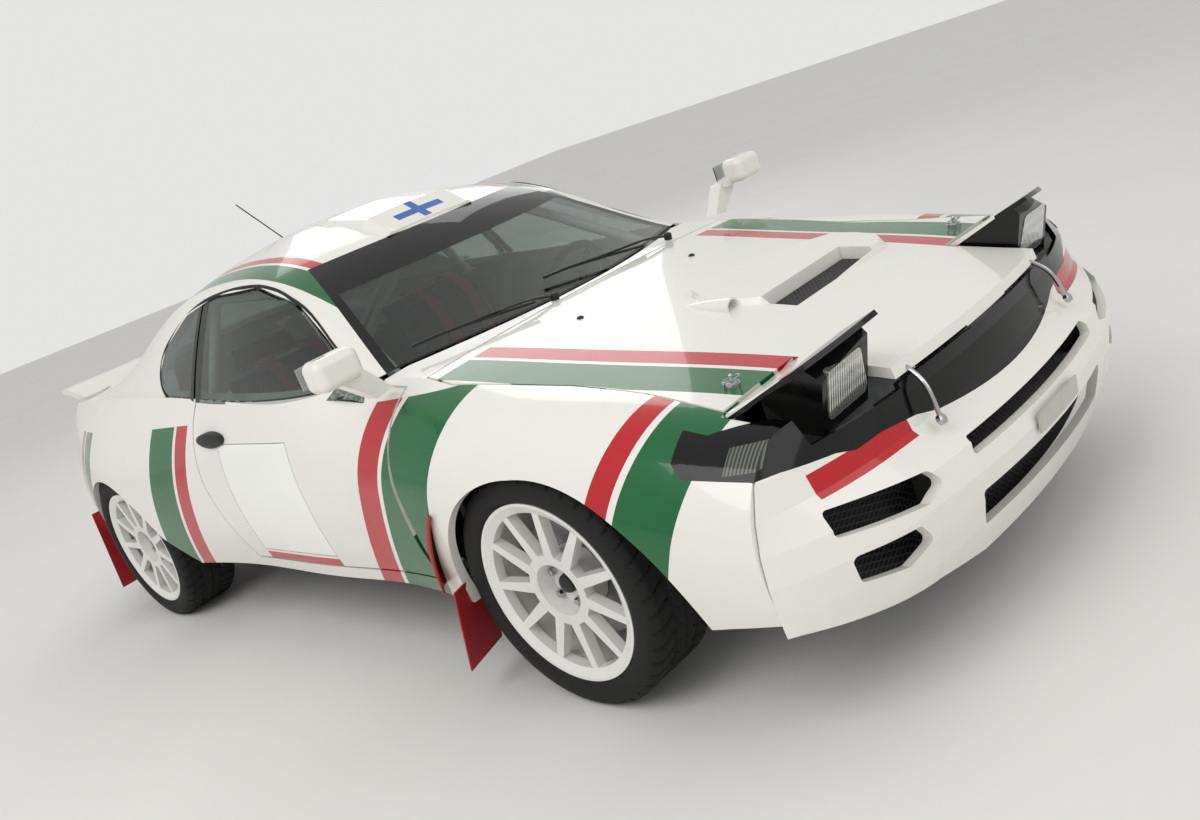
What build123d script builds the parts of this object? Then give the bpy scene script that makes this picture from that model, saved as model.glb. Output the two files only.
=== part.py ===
from build123d import *
import os
from math import asin, atan2, cos, hypot, pi, sin

# Rally car, three-door liftback coupe, in millimetres.
# +X is the nose, +Y the car's left side, +Z up, and the floor under the tyres is z = 0.
# x = 0 is half way between the bumper's nose and the tail.

# Wheels, tyres and axles
WHEELBASE = 2525.0
FRONT_AXLE_X = 1283.0
REAR_AXLE_X = FRONT_AXLE_X - WHEELBASE
TYRE_R = 318.0
TYRE_WIDTH = 225.0
RIM_R = 243.5
TRACK_HALF = 713.0
HUB_Z = TYRE_R
SPOKES = 11
BORE_R = 26.0
SPINDLE_R = 25.0
DISC_R = 172.0

# Steering axis, as (y, z) of the lower ball joint and of the strut's top
BALL_Y, BALL_Z = 664.0, 214.0
TOWER_Y, TOWER_Z = 527.5, 722.0

# Panels
SKIN = 24.0
DOOR_WALL = 58.0
GLASS = 5.0
ROOF_WALL = 30.0
GAP = 6.0
TAIL_X = -2200.0
DOOR_FRONT_X, DOOR_REAR_X = 850.0, -300.0
COWL_X = 905.0
BUMPER_LINE_X = 1958.0
LAMP_HINGE = (1842.0, 688.0)
LAMP_LIFT = 33.0
LAMP_Y0, LAMP_Y1 = 384.0, 662.0
LAMP_TIP_X = 2080.0
LAMP_LID = 12.0

# Lower body sections: x, underside z, sill half width, greatest half width and its z,
# top edge half width and its z, crown z on the centreline
BODY_SECTIONS = [
    (2240.0, 150, 700, 765, 430, 560, 615, 628),
    (2077.0, 170, 745, 806, 440, 600, 640, 652),
    (1860.0, 215, 802, 846, 450, 650, 686, 693),
    (1640.0, 240, 826, 863, 500, 617, 725, 738),
    (1283.0, 250, 836, 872, 560, 630, 782, 800),
    (900.0, 268, 815, 856, 590, 668, 845, 860),
    (500.0, 285, 796, 841, 600, 768, 864, 880),
    (0.0, 285, 796, 838, 590, 768, 874, 890),
    (-540.0, 285, 800, 846, 575, 742, 912, 925),
    (-1242.0, 262, 828, 866, 540, 690, 925, 938),
    (-1600.0, 252, 762, 804, 510, 640, 915, 932),
    (-1900.0, 250, 668, 716, 490, 580, 896, 914),
    (-2240.0, 262, 560, 600, 480, 480, 860, 880),
]

# Cabin sections: x, base half width and its z, roof rail half width and its z, roof z
CABIN_SECTIONS = [
    (960.0, 690, 700, 560, 742, 800),
    (780.0, 735, 800, 640, 826, 905),
    (500.0, 766, 850, 600, 985, 1062),
    (240.0, 770, 860, 566, 1128, 1205),
    (0.0, 768, 868, 556, 1196, 1268),
    (-280.0, 756, 885, 550, 1210, 1290),
    (-600.0, 735, 905, 556, 1170, 1252),
    (-1000.0, 700, 905, 560, 1052, 1118),
    (-1450.0, 655, 890, 560, 942, 985),
    (-1850.0, 600, 850, 540, 902, 935),
    (-2240.0, 500, 820, 450, 868, 895),
]

# Nose outlines by height: z, x on the centreline, half width at the fender line, how far back
# the front has curved where the corner starts, that start's y, and the corner's fullness in x and y
NOSE_LEVELS = [
    (715.0, 2072.0, 640.0, 35.0, 440.0, 0.50, 0.42),
    (650.0, 2082.0, 706.0, 34.0, 443.0, 0.49, 0.41),
    (585.0, 2092.0, 776.0, 31.0, 447.0, 0.47, 0.40),
    (520.0, 2108.0, 806.0, 34.0, 455.0, 0.45, 0.39),
    (455.0, 2186.0, 824.0, 48.0, 468.0, 0.42, 0.37),
    (390.0, 2199.0, 830.0, 54.0, 475.0, 0.41, 0.37),
    (325.0, 2188.0, 828.0, 52.0, 475.0, 0.41, 0.37),
    (260.0, 2166.0, 822.0, 48.0, 475.0, 0.41, 0.37),
    (195.0, 2138.0, 802.0, 47.0, 475.0, 0.41, 0.37),
    (130.0, 2108.0, 776.0, 46.0, 475.0, 0.41, 0.37),
]
NOSE_TOP, NOSE_LOW = NOSE_LEVELS[0][0], NOSE_LEVELS[-1][0]

# Openings in the side view, as (x, z)
SIDE_WINDOW = [
    (712, 838), (60, 850), (-400, 880), (-545, 912), (-628, 985), (-606, 1062),
    (-440, 1150), (-214, 1186), (72, 1176), (283, 1100), (500, 956),
]
FRONT_ARCH_CENTRE, REAR_ARCH_CENTRE = (1318.0, 268.0), (-1225.0, 268.0)
ARCH_R = 374.0

os.makedirs("parts", exist_ok=True)


def save(name, shape):
    """Write one node's solids to its STEP file."""
    solids = shape.solids()
    export_step(Compound(solids) if len(solids) > 1 else solids[0], f"parts/{name}.step")


def mirrored(shape):
    """The same piece on the car's other side."""
    return mirror(shape, about=Plane.XZ)


def pair(name, left):
    """Write a piece's left and right hands as two nodes."""
    save(f"{name}_left", left)
    save(f"{name}_right", mirrored(left))


def outline(start, *steps):
    """A closed face from straight steps, each an end point, and arcs, each (via, end)."""
    edges, at = [], start
    for step in steps + (start,):
        arc = isinstance(step[0], tuple)
        end = step[1] if arc else step
        if not arc and at == end:
            continue
        edges.append(ThreePointArc(at, step[0], end) if arc else Line(at, end))
        at = end
    return make_face(edges)


def carried(face, by):
    """A flat face carried along a straight way into a solid."""
    return Solid.extrude(face.faces()[0], Vector(*by))


def side_prism(face, y0, y1):
    """A face drawn in (x, z), carried from y0 to y1."""
    return carried(Pos(0, y0, 0) * (Plane.XZ * face), (0, y1 - y0, 0))


def plan_prism(face, z0, z1):
    """A face drawn in (x, y), carried from z0 to z1."""
    return carried(Pos(0, 0, z0) * face, (0, 0, z1 - z0))


def front_prism(face, x0, x1):
    """A face drawn in (y, z), carried from x0 to x1."""
    return carried(Pos(x0, 0, 0) * (Plane.YZ * face), (x1 - x0, 0, 0))


def block(x0, x1, y0, y1, z0, z1):
    """A box between two corners."""
    return Pos((x0 + x1) / 2, (y0 + y1) / 2, (z0 + z1) / 2) * Box(x1 - x0, y1 - y0, z1 - z0)


def cut(shape, *tools):
    """A shape less each of the tools."""
    for tool in tools:
        shape = shape - tool
    return shape


def largest(shape):
    """The largest solid of a shape."""
    return max(shape.solids(), key=lambda solid: solid.volume)


def both_sides(shape):
    """A piece with its mirror image, in one shape."""
    return Compound(shape.solids() + mirrored(shape).solids())


def rod(a, b, r):
    """A round bar from a to b."""
    a, b = Vector(*a), Vector(*b)
    return Plane(origin=a, z_dir=b - a) * Cylinder(
        r, (b - a).length, align=(Align.CENTER, Align.CENTER, Align.MIN)
    )


def frame(points, r):
    """Tubes along a run of points, with a ball at each so that they join."""
    tubes = rod(points[0], points[1], r)
    for a, b in zip(points[1:], points[2:]):
        tubes = tubes + rod(a, b, r) + Pos(*a) * Sphere(r)
    return tubes


def rising_arc(y0, z0, y1, z1):
    """The middle of an arc that leaves (y0, z0) upright and ends at (y1, z1)."""
    r = ((y0 - y1) ** 2 + (z1 - z0) ** 2) / (2 * (y0 - y1))
    half = atan2(z1 - z0, r - (y0 - y1)) / 2
    return y0 - r + r * cos(half), z0 + r * sin(half)


def body_section(row, inset=0.0):
    """One cross section of the lower body: sill arc, side arc and crown arc."""
    x, z0, y0, yw, zw, y1, z1, z2 = row
    z0, y0, yw, y1, z1, z2 = z0 + inset, y0 - inset, yw - inset, y1 - inset, z1 - inset, z2 - inset
    low, high = rising_arc(yw, zw, y0, z0), rising_arc(yw, zw, y1, z1)
    right = [(-y0, z0), (-low[0], low[1]), (-yw, zw), (-high[0], high[1]), (-y1, z1)]
    r = [Vector(x, y, z) for y, z in right]
    s = [Vector(x, -y, z) for y, z in right]
    edges = [
        Edge.make_line(s[0], r[0]),
        Edge.make_three_point_arc(r[0], r[1], r[2]),
        Edge.make_three_point_arc(r[2], r[3], r[4]),
        Edge.make_three_point_arc(r[4], Vector(x, 0, z2), s[4]),
        Edge.make_three_point_arc(s[4], s[3], s[2]),
        Edge.make_three_point_arc(s[2], s[1], s[0]),
    ]
    return Wire(edges)


def cabin_section(row, inset=0.0):
    """One cross section of the cabin: base line, bowed sides and the roof's arc."""
    x, y0, z0, y1, z1, z2 = row
    y0, z0, y1, z1, z2 = y0 - inset, z0 - 2 * inset, y1 - inset, z1 - inset, z2 - inset
    bow = 10.0
    across = hypot(y0 - y1, z1 - z0)
    mid = ((y0 + y1) / 2 + bow * (z1 - z0) / across, (z0 + z1) / 2 + bow * (y0 - y1) / across)
    a, b = Vector(x, -y0, z0), Vector(x, y0, z0)
    c, d = Vector(x, y1, z1), Vector(x, -y1, z1)
    edges = [
        Edge.make_line(a, b),
        Edge.make_three_point_arc(b, Vector(x, *mid), c),
        Edge.make_three_point_arc(c, Vector(x, 0, z2), d),
        Edge.make_three_point_arc(d, Vector(x, -mid[0], mid[1]), a),
    ]
    return Wire(edges)


def nose_outline(row, inset=0.0):
    """One plan outline of the nose at its height: a shallow arc and two corner arcs."""
    z, nose, side, drop, corner_y, full_x, full_y = row
    nose, side = nose - inset, side - inset
    front, back = nose - drop, 1500.0 - inset
    a, b = Vector(front, -corner_y, z), Vector(front, corner_y, z)
    c, d = Vector(BUMPER_LINE_X, side, z), Vector(BUMPER_LINE_X, -side, z)
    turn = Vector(front - full_x * (front - BUMPER_LINE_X), side - full_y * (side - corner_y), z)
    edges = [
        Edge.make_three_point_arc(a, Vector(nose, 0, z), b),
        Edge.make_three_point_arc(b, turn, c),
        Edge.make_line(c, Vector(back, side + 30, z)),
        Edge.make_line(Vector(back, side + 30, z), Vector(back, -side - 30, z)),
        Edge.make_line(Vector(back, -side - 30, z), d),
        Edge.make_three_point_arc(d, Vector(turn.X, -turn.Y, z), a),
    ]
    return Wire(edges)


def loft_of_nose(inset):
    """A solid straight from level to level of the nose; an inner one runs past both ends."""
    top, low = NOSE_LEVELS[0], NOSE_LEVELS[-1]
    rows = [(top[0] + inset, *top[1:]), *NOSE_LEVELS[1:-1], (low[0] - inset, *low[1:])]
    return Solid.make_loft([nose_outline(row, inset) for row in rows], True)


def tail_cut(inset=0.0):
    """The rounded plan of the tail, carried forward past the nose."""
    e = inset
    return plan_prism(
        outline(
            (2400, -900), (-1620, -900), (-1880, -742 + e),
            ((-2090 + e, -590 + e), (-2176 + e, -390)), ((TAIL_X + e, 0), (-2176 + e, 390)),
            ((-2090 + e, 590 - e), (-1880, 742 - e)), (-1620, 900), (2400, 900),
        ),
        0, 1500,
    )


def loft_of(section, rows, inset=0.0):
    """A smooth solid through a table's sections; an inner one runs past both ends."""
    first, last = rows[0], rows[-1]
    rows = [(first[0] + inset, *first[1:]), *rows[1:-1], (last[0] - inset, *last[1:])]
    return Solid.make_loft([section(row, inset) for row in rows], False)


def arch(centre, flare):
    """A wheel arch's opening: a round rear and top, with its flared lower end."""
    cx, cz = centre
    low = 60.0
    if flare > 0:
        return outline(
            (cx - ARCH_R, low), (cx - ARCH_R, cz), ((cx - ARCH_R * 0.7071, cz + ARCH_R * 0.7071),
            (cx + 10, cz + ARCH_R)), ((cx + 318, cz + 262), (cx + 458, cz - 6)), (cx + 520, low),
        )
    return outline(
        (cx - ARCH_R, low), (cx - ARCH_R, cz), ((cx - ARCH_R * 0.7071, cz + ARCH_R * 0.7071),
        (cx, cz + ARCH_R)), ((cx + ARCH_R * 0.66, cz + ARCH_R * 0.751), (cx + ARCH_R * 0.93, cz + ARCH_R * 0.367)),
        (cx + 500, cz + 12), (cx + 640, low),
    )


# The lower body's outer form, and the forms inside the thin and the thick walls
lower = loft_of(body_section, BODY_SECTIONS)
lower_in = loft_of(body_section, BODY_SECTIONS, SKIN)
lower_thick = loft_of(body_section, BODY_SECTIONS, DOOR_WALL)
cabin = loft_of(cabin_section, CABIN_SECTIONS)
cabin_in = loft_of(cabin_section, CABIN_SECTIONS, ROOF_WALL)
cabin_glass = loft_of(cabin_section, CABIN_SECTIONS, GLASS)
lower_lid = loft_of(body_section, BODY_SECTIONS, LAMP_LID)
nose_form = loft_of_nose(0.0)
nose_in = loft_of_nose(SKIN)
nose_lid = loft_of_nose(LAMP_LID)
lower, lower_in = lower & tail_cut(), lower_in & tail_cut(SKIN)
lower_thick = lower_thick & tail_cut(DOOR_WALL)
cabin = cabin & tail_cut()
skin = lower - lower_in
thick_skin = lower - lower_thick

# The nose's own form, rounded in plan, and what lies beyond it
nose_box = block(BUMPER_LINE_X, 2400, -1000, 1000, NOSE_LOW, NOSE_TOP)
beyond_nose = nose_box - nose_form
nose_block = cut(lower & block(1700, 2400, -1000, 1000, 100, NOSE_TOP), beyond_nose)
nose_shell = nose_block - cut(lower_in, nose_box - nose_in)
thin_shell = nose_block - cut(lower_lid, nose_box - nose_lid)

# Bonnet, with its sides in plan and room at the raised lamps' lids
bonnet_side = [(COWL_X, 660), (1022, 676), (1216, 640), (1384, 612), (1600, 612), (1828, 646)]


def bonnet_plan(grow=0.0):
    """The bonnet's outline in plan, notched at the front corners for the lamp lids."""
    g = grow
    left = [(x + (g if i == 5 else 0), y + g) for i, (x, y) in enumerate(bonnet_side)]
    notch = [(1828 + g, LAMP_Y0 - 8 + g), (2120, LAMP_Y0 - 8 + g)]
    right = [(x, -y) for x, y in reversed(left + notch)]
    start = (COWL_X - g, -(660 + g))
    return outline(
        start, ((COWL_X - g + 2, 0), (COWL_X - g, 660 + g)), *left[1:], *notch, *right[:-1],
    )


# Bonnet: the skin inside its outline, with a raised dome and its exit grille
VENT_X0, VENT_X1, VENT_Y0, VENT_Y1 = 1578.0, 1676.0, -100.0, 285.0
DOME_RISE, DOME_EDGE = 32.0, 42.0
DOME_MIDDLE = (1530.0, 140.0)
upper_half = block(0, 2300, -900, 900, 520, 1100)
vent = block(VENT_X0, VENT_X1, VENT_Y0, VENT_Y1, 500, 1000)
bonnet = cut(skin & plan_prism(bonnet_plan(), 400, 1100) & upper_half, vent, beyond_nose)

# The dome's foot on the bonnet, larger on the car's left: each arc's start and middle, as (x, y)
DOME_FOOT = [
    ((1300, -85), (1400, -150)), ((1570, -148), (1668, -66)), ((1700, 55), (1707, 200)),
    ((1700, 340), (1669, 412)), ((1597, 445), (1540, 452)), ((1477, 437), (1352, 240)),
]


def dome_ring(rise, inward):
    """The dome's outline moved in towards its middle, tilted to the bonnet's slope."""
    def at(point):
        x, y = point
        dx, dy = DOME_MIDDLE[0] - x, DOME_MIDDLE[1] - y
        x, y = x + dx * inward / hypot(dx, dy), y + dy * inward / hypot(dx, dy)
        return Vector(x, y, 880 - 0.165 * (x - 700) + rise)
    ends = DOME_FOOT[1:] + DOME_FOOT[:1]
    return Wire([
        Edge.make_three_point_arc(at(a), at(mid), at(b)) for (a, mid), (b, _) in zip(DOME_FOOT, ends)
    ])


dome = Solid.make_loft([dome_ring(-30, 0), dome_ring(DOME_RISE, DOME_EDGE)], True)
bonnet_bulge = cut(dome, lower, vent)

# Fenders, with the wheel arch and the corner lamps' seats cut
front_arch = side_prism(arch(FRONT_ARCH_CENTRE, 1), -1000, 1000)
rear_arch = side_prism(arch(REAR_ARCH_CENTRE, 0), -1000, 1000)
corner_plan = outline(
    (1770, 860), (1770, 715), (1830, 716), (1943, 646), (2010, 636), (2086, 592), (2300, 592), (2300, 860)
)
corner_side = outline((1770, 640), (1800, 612), (1948, 594), (2090, 566), (2300, 560), (2300, 900), (1770, 900))
corner_room = plan_prism(corner_plan, 500, 900) & side_prism(corner_side, 400, 1000)
corner_lamp = largest(nose_shell & corner_room)
fender = skin & block(DOOR_FRONT_X + GAP, BUMPER_LINE_X - 3, 600, 1000, 100, 1000)
fender = cut(fender, plan_prism(bonnet_plan(GAP), 400, 1100), front_arch, corner_room)
fender = cut(fender, block(1836, 2300, 300, 668, 500, 900), block(0, 2300, 0, 700, 0, 420))
fender = largest(fender - block(850, 1010, 600, 792, 0, 420))
# Lower edge ahead of the wheel, in line with the bumper's
fender_edge = outline((1560, 100), (1560, 255), (1700, 272), (1830, 290), (1980, 305), (1980, 100))
fender = largest(fender - side_prism(fender_edge, 600, 1000))

# Doors
door_face = outline(
    (DOOR_FRONT_X, 930), (DOOR_FRONT_X - 3, 700), (DOOR_FRONT_X - 16, 520), ((DOOR_FRONT_X - 12, 400),
    (DOOR_FRONT_X + 2, 335)), (-236, 332), ((-300, 480), (-330, 640)), ((-322, 760), (-268, 930)),
)
door_hole = outline(
    (DOOR_FRONT_X + GAP, 936), (DOOR_FRONT_X + 3, 700), (DOOR_FRONT_X - 10, 520),
    ((DOOR_FRONT_X - 6, 398), (DOOR_FRONT_X + 8, 329)), (-242, 326),
    ((-306, 480), (-336, 640)), ((-328, 760), (-274, 936)),
)
door = thick_skin & side_prism(door_face, 600, 1000)
door = door - block(-400, 900, 0, 704, 0, 1000)

# Cabin shell: roof, pillars and cowl, with the windows cut
window_face = outline(*SIDE_WINDOW)
screen_plan = outline(
    (715, -652), ((880, 0), (715, 652)), (196, 452), ((300, 0), (196, -452)),
)
hatch_half = [(-690, 452), (-1000, 492), (-1450, 520), (-1850, 520), (-2044, 500)]


def hatch_plan(grow=0.0):
    """The tailgate's outline in plan."""
    left = [(x + (grow if i == 0 else -grow if i == 4 else 0), y + grow) for i, (x, y) in enumerate(hatch_half)]
    return outline(*left, *[(x, -y) for x, y in reversed(left)])


cabin_hole = [
    (742, 640), (500, 706), (0, 710), (-540, 684), (-1000, 640), (-1450, 596), (-1850, 545), (-2050, 520),
]
cabin_hole_plan = outline(*cabin_hole, *[(x, -y) for x, y in reversed(cabin_hole)])
roof_shell = cabin - cabin_in
roof = cut(roof_shell, lower, side_prism(window_face, -1000, 1000))
roof = cut(roof, plan_prism(screen_plan, 700, 1400), plan_prism(hatch_plan(GAP), 700, 1400))
roof = roof & block(-2050, 1000, -1000, 1000, 790, 1400)
for swing in (0, -12):
    hole = Pos(swing, 0, 0) * side_prism(door_hole, 705, 1000)
    roof = cut(roof, hole, mirrored(hole))
roof = largest(roof)
cowl = cut(skin & block(742, COWL_X - 8, -697, 697, 760, 1000), fender, mirrored(fender))
cowl = cut(cowl, plan_prism(screen_plan, 700, 1400))
windscreen = ((cabin - cabin_glass) & plan_prism(screen_plan, 700, 1400)) - lower
glass_layer = cabin - cabin_glass
window_left = side_prism(window_face, 400, 1000)
door_glass_face = outline(
    (700, 800), (-278, 800), (-296, 900), (-302, 1165), (-214, 1178), (70, 1168), (280, 1093),
    (496, 949), (700, 836),
)
door_glass = cut(glass_layer & side_prism(door_glass_face, 400, 1000), lower, plan_prism(screen_plan, 700, 1400))
quarter_face = outline((-310, 873), (-400, 880), (-545, 912), (-628, 985), (-606, 1062), (-440, 1150), (-314, 1169))
quarter = (glass_layer & side_prism(quarter_face, 400, 1000)) - lower

# Body sides: rear quarters and sills, tail and rear bumper
side = skin & block(-2040, DOOR_FRONT_X, 560, 1000, 100, 1000)
side = cut(side, side_prism(door_hole, 500, 1000), rear_arch, plan_prism(cabin_hole_plan, 700, 1400))
side = largest(cut(side, block(-3000, -1640, 0, 1000, 0, 606), block(-3000, 3000, 0, 640, 0, 420)))
REAR_SPLIT = 606.0
tail_lamp = skin & block(-2300, -2046, 300, 640, 655, 790)
tail_panel = skin & block(-2300, -2043, -1000, 1000, REAR_SPLIT, 1000)
tail_panel = cut(tail_panel, tail_lamp, mirrored(tail_lamp), plan_prism(cabin_hole_plan, 700, 1400))
rear_bumper = skin & block(-2300, -1646, -1000, 1000, 240, 600)
rear_bumper = cut(rear_bumper, rear_arch, block(-2300, -1000, -560, 560, 0, 300))

# Front bumper with its mouths and side slots, under the black panel's lower edge
half_edge = [(369, 541), (479, 555), (555, 553), (600, 568), (668, 578), (783, 598), (900, 600), (900, 800)]
panel_room = front_prism(
    outline(
        (-300, 521), ((0, 503), (300, 521)), *half_edge, *[(-y, z) for y, z in reversed(half_edge)],
    ),
    1900, 2400,
)
half_chin = [(308, 190), (600, 238), (800, 275), (950, 290), (950, 100)]
below_chin = front_prism(outline(*half_chin, *[(-y, z) for y, z in reversed(half_chin)]), 1900, 2400)
front_bumper = (nose_form - nose_in) & block(BUMPER_LINE_X, 2300, -1000, 1000, 160, 640)
front_bumper = cut(front_bumper, panel_room, below_chin, corner_room, mirrored(corner_room))


def rounded_hole(points, r):
    """A front-view opening with rounded corners, carried through the bumper."""
    face = outline(*points)
    return front_prism(fillet(face.vertices(), r), 1900, 2400)


MOUTHS = [
    [(-337, 428), (-327, 467), (327, 467), (337, 428)],
    [(-328, 262), (-339, 346), (339, 346), (328, 262)],
]
SLOTS = [
    [(440, 424), (470, 462), (700, 492), (712, 440), (500, 404)],
    [(505, 330), (540, 376), (700, 392), (690, 332), (580, 306)],
]
for points in MOUTHS:
    front_bumper = front_bumper - rounded_hole(points, 10)
for points in SLOTS:
    hole = rounded_hole(points, 12)
    front_bumper = cut(front_bumper, hole, mirrored(hole))

# Black panel between the corner lamps, open above for the bonnet's lip and the raised lamps
nose_panel = thin_shell & panel_room & block(BUMPER_LINE_X, 2300, -1000, 1000, 450, 700)
lamp_room = block(1800, 2400, 376, 668, 604, 1100)
nose_panel = cut(
    nose_panel, block(1800, 2400, -380, 380, 616, 1100), lamp_room, mirrored(lamp_room),
    corner_room, mirrored(corner_room),
)

# Raised lamps: each lid and its housing turn down about the lid's rear edge
hinge_x, hinge_z = LAMP_HINGE
lid_plan = outline(
    (hinge_x, LAMP_Y0), (LAMP_TIP_X, LAMP_Y0), ((2050, 530), (2004, 628)), (1940, 639), (1896, LAMP_Y1),
    (hinge_x, LAMP_Y1),
)
raised = Pos(hinge_x, 0, hinge_z) * Rot(0, -LAMP_LIFT, 0) * Pos(-hinge_x, 0, -hinge_z)
lid = (lower - lower_lid) & plan_prism(lid_plan, 500, 900)
house_side = outline((1862, 680), (2034, 645), (2034, 622), (1918, 524), (1880, 560), (1862, 640))
house = side_prism(house_side, 392, 574) & nose_in
lamp = raised * (lid + house)

# The lens lies in the raised housing's face: x along the car's width, y up the face
face_foot, face_top = Vector(1995, 0, 592), Vector(2039, 0, 737)
face_up = (face_top - face_foot).normalized()
lens_plane = Plane(
    origin=face_foot + face_up * 76 + Vector(0, 490, 0), x_dir=(0, 1, 0), z_dir=face_up.cross(Vector(0, -1, 0))
)
lens_face = outline((-96, -50), (62, -52), (66, 58), (-64, 62))
lens = carried(lens_plane * (Pos(0, 0, -14) * fillet(lens_face.vertices(), 16)), lens_plane.z_dir * 16)
lamp = lamp - lens

# Wing-like piece on the tailgate, the tailgate and its glass
hatch = (roof_shell & plan_prism(hatch_plan(), 700, 1400))
hatch_window = outline((-760, -430), (-760, 430), (-1480, 478), (-1480, -478))
hatch = hatch - plan_prism(hatch_window, 700, 1400)
hatch_glass = glass_layer & plan_prism(hatch_window, 700, 1400)
wing_side = outline(
    (-1850, 914), (-1990, 950), ((-2075, 964), (-2112, 954)), (-2104, 940), (-2010, 926), (-1960, 907)
)
wing = largest(cut(side_prism(wing_side, -556, 556), lower, hatch))

# Roof scoop and aerial
def scoop_section(x, half, z0, z1):
    """One cross section of the scoop: a flat foot, rounded shoulders and a low crown."""
    a, b = Vector(x, -half, z0), Vector(x, half, z0)
    c, d = Vector(x, 0.8 * half, z1 - 3), Vector(x, -0.8 * half, z1 - 3)
    rise = 0.7 * (z1 - 3 - z0)
    return Wire([
        Edge.make_line(a, b),
        Edge.make_three_point_arc(b, Vector(x, 0.955 * half, z0 + rise), c),
        Edge.make_three_point_arc(c, Vector(x, 0, z1), d),
        Edge.make_three_point_arc(d, Vector(x, -0.955 * half, z0 + rise), a),
    ])


# Its sections: x, half width, foot z and crown z
SCOOP_SECTIONS = [(290, 192, 1172, 1190), (190, 205, 1190, 1254), (-60, 185, 1225, 1290), (-380, 120, 1240, 1284)]
scoop = Solid.make_loft([scoop_section(*row) for row in SCOOP_SECTIONS], True)
scoop = cut(scoop, cabin)
scoop = scoop & block(-400, 400, -300, 300, 1180, 1400)
aerial = rod((-632, 0, 1244), (-637, 0, 1262), 14) + rod((-636, 0, 1258), (-899, 0, 1455), 2.5)
aerial = aerial - cabin

# Floor, firewall, chassis rails and inner wheel housings
FLOOR_Z0, FLOOR_Z1 = 196.0, 212.0
BOOT_Z0, BOOT_Z1 = 338.0, 354.0
RAIL_Y0, RAIL_Y1 = 362.0, 430.0
WALL = 8.0
REAR_WALL_Y = 500.0
floor = block(-860, 900, -632, 632, FLOOR_Z0, FLOOR_Z1)
floor = floor + block(-1990, -852, -REAR_WALL_Y, REAR_WALL_Y, BOOT_Z0, BOOT_Z1)
floor = floor + block(-868, -852, -632, 632, FLOOR_Z0, BOOT_Z1)
floor = floor + block(884, 900, -700, 700, FLOOR_Z0, 800)
floor = floor + block(-860, 884, -90, 90, FLOOR_Z1, 330) - block(-900, 910, -78, 78, 0, 318)


def strip(way, y0, y1, x0, x1, z0, z1):
    """A box on one side of the car, its y given from the centreline outwards."""
    return block(x0, x1, *sorted((way * y0, way * y1)), z0, z1)


for way in (-1, 1):
    floor = floor + strip(way, RAIL_Y0, RAIL_Y1, 900, 2112, 372, 444)
    floor = floor + strip(way, RAIL_Y1, RAIL_Y1 + WALL, 900, 1690, 372, 690)
    floor = floor + strip(way, RAIL_Y1, 590, 1180, 1386, TOWER_Z, TOWER_Z + WALL)
    floor = floor + strip(way, RAIL_Y1, RAIL_Y1 + WALL, 1180, 1386, 680, TOWER_Z + WALL)
    floor = floor + strip(way, REAR_WALL_Y - WALL, REAR_WALL_Y, -1650, -860, BOOT_Z0, 716)
    floor = floor + strip(way, REAR_WALL_Y - WALL, 640, -1620, -868, 708, 716)
    floor = floor + strip(way, 624, 640, -860, 884, FLOOR_Z0, 330)
    floor = floor + strip(way, 560, 704, -868, -852, FLOOR_Z0, 716)
floor = cut(floor, front_bumper, rear_bumper)

# Wheels: one turned profile with windows cut between the spokes, and the tyre round it
rim_profile = make_face(Polyline(
    (BORE_R, -28), (DISC_R, -28), (DISC_R, 0), (84, 0), (92, 60), (226, 66), (226, -105), (RIM_R, -105),
    (RIM_R, 105), (236, 105), (214, 93), (70, 88), (58, 46), (BORE_R, 46), close=True,
))
rim = revolve(rim_profile, Axis.Y)
SPOKE_HUB, SPOKE_RIM = 30.0, 21.0
WINDOW_R0, WINDOW_R1 = 96.0, 214.0
half_pitch = pi / SPOKES
lean0 = half_pitch - asin(SPOKE_HUB / 2 / WINDOW_R0)
lean1 = half_pitch - asin(SPOKE_RIM / 2 / WINDOW_R1)
corners = [
    (r * cos(a), r * sin(a))
    for r, a in [(WINDOW_R0, -lean0), (WINDOW_R1, -lean1), (WINDOW_R1, lean1), (WINDOW_R0, lean0)]
]
window = side_prism(
    outline(corners[0], corners[1], ((WINDOW_R1, 0), corners[2]), corners[3]), 20, 140
)
for k in range(SPOKES):
    rim = rim - Rot(0, 360 / SPOKES * k, 0) * window
studs = [Rot(0, 72 * k, 0) * rod((50, 40, 0), (50, 58, 0), 9) for k in range(5)]
for stud in studs:
    rim = rim - stud
tyre = revolve(make_face(Polyline(
    (RIM_R, -100), (276, -TYRE_WIDTH / 2), (306, -107), (TYRE_R, -88),
    (TYRE_R, 88), (306, 107), (276, TYRE_WIDTH / 2), (RIM_R, 100), close=True,
)), Axis.Y)

# Front knuckles: hub carrier, spindle, strut clamp, ball joint boss and brake caliper
fx = FRONT_AXLE_X
carrier = rod((fx, 640, HUB_Z), (fx, 679, HUB_Z), 52) + rod((fx, 670, HUB_Z), (fx, 743, HUB_Z), SPINDLE_R)
leg = front_prism(outline((650, 222), (676, 222), (676, 330), (640, 330)), fx - 26, fx + 26)
arm = front_prism(outline((640, 320), (676, 320), (624, 470), (570, 470)), fx - 30, fx + 30)
caliper = block(fx - 200, fx - 124, 661, 729, HUB_Z - 55, HUB_Z + 55)
caliper = caliper - (rod((fx, 679, HUB_Z), (fx, 719, HUB_Z), DISC_R + 6))
bracket = block(fx - 130, fx - 30, 661, 676, HUB_Z - 30, HUB_Z + 30)
knuckle = carrier + leg + arm + caliper + bracket
rear_shift = Pos(REAR_AXLE_X - FRONT_AXLE_X, 0, 0)
rear_upright = rear_shift * (carrier + caliper + bracket)

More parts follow.
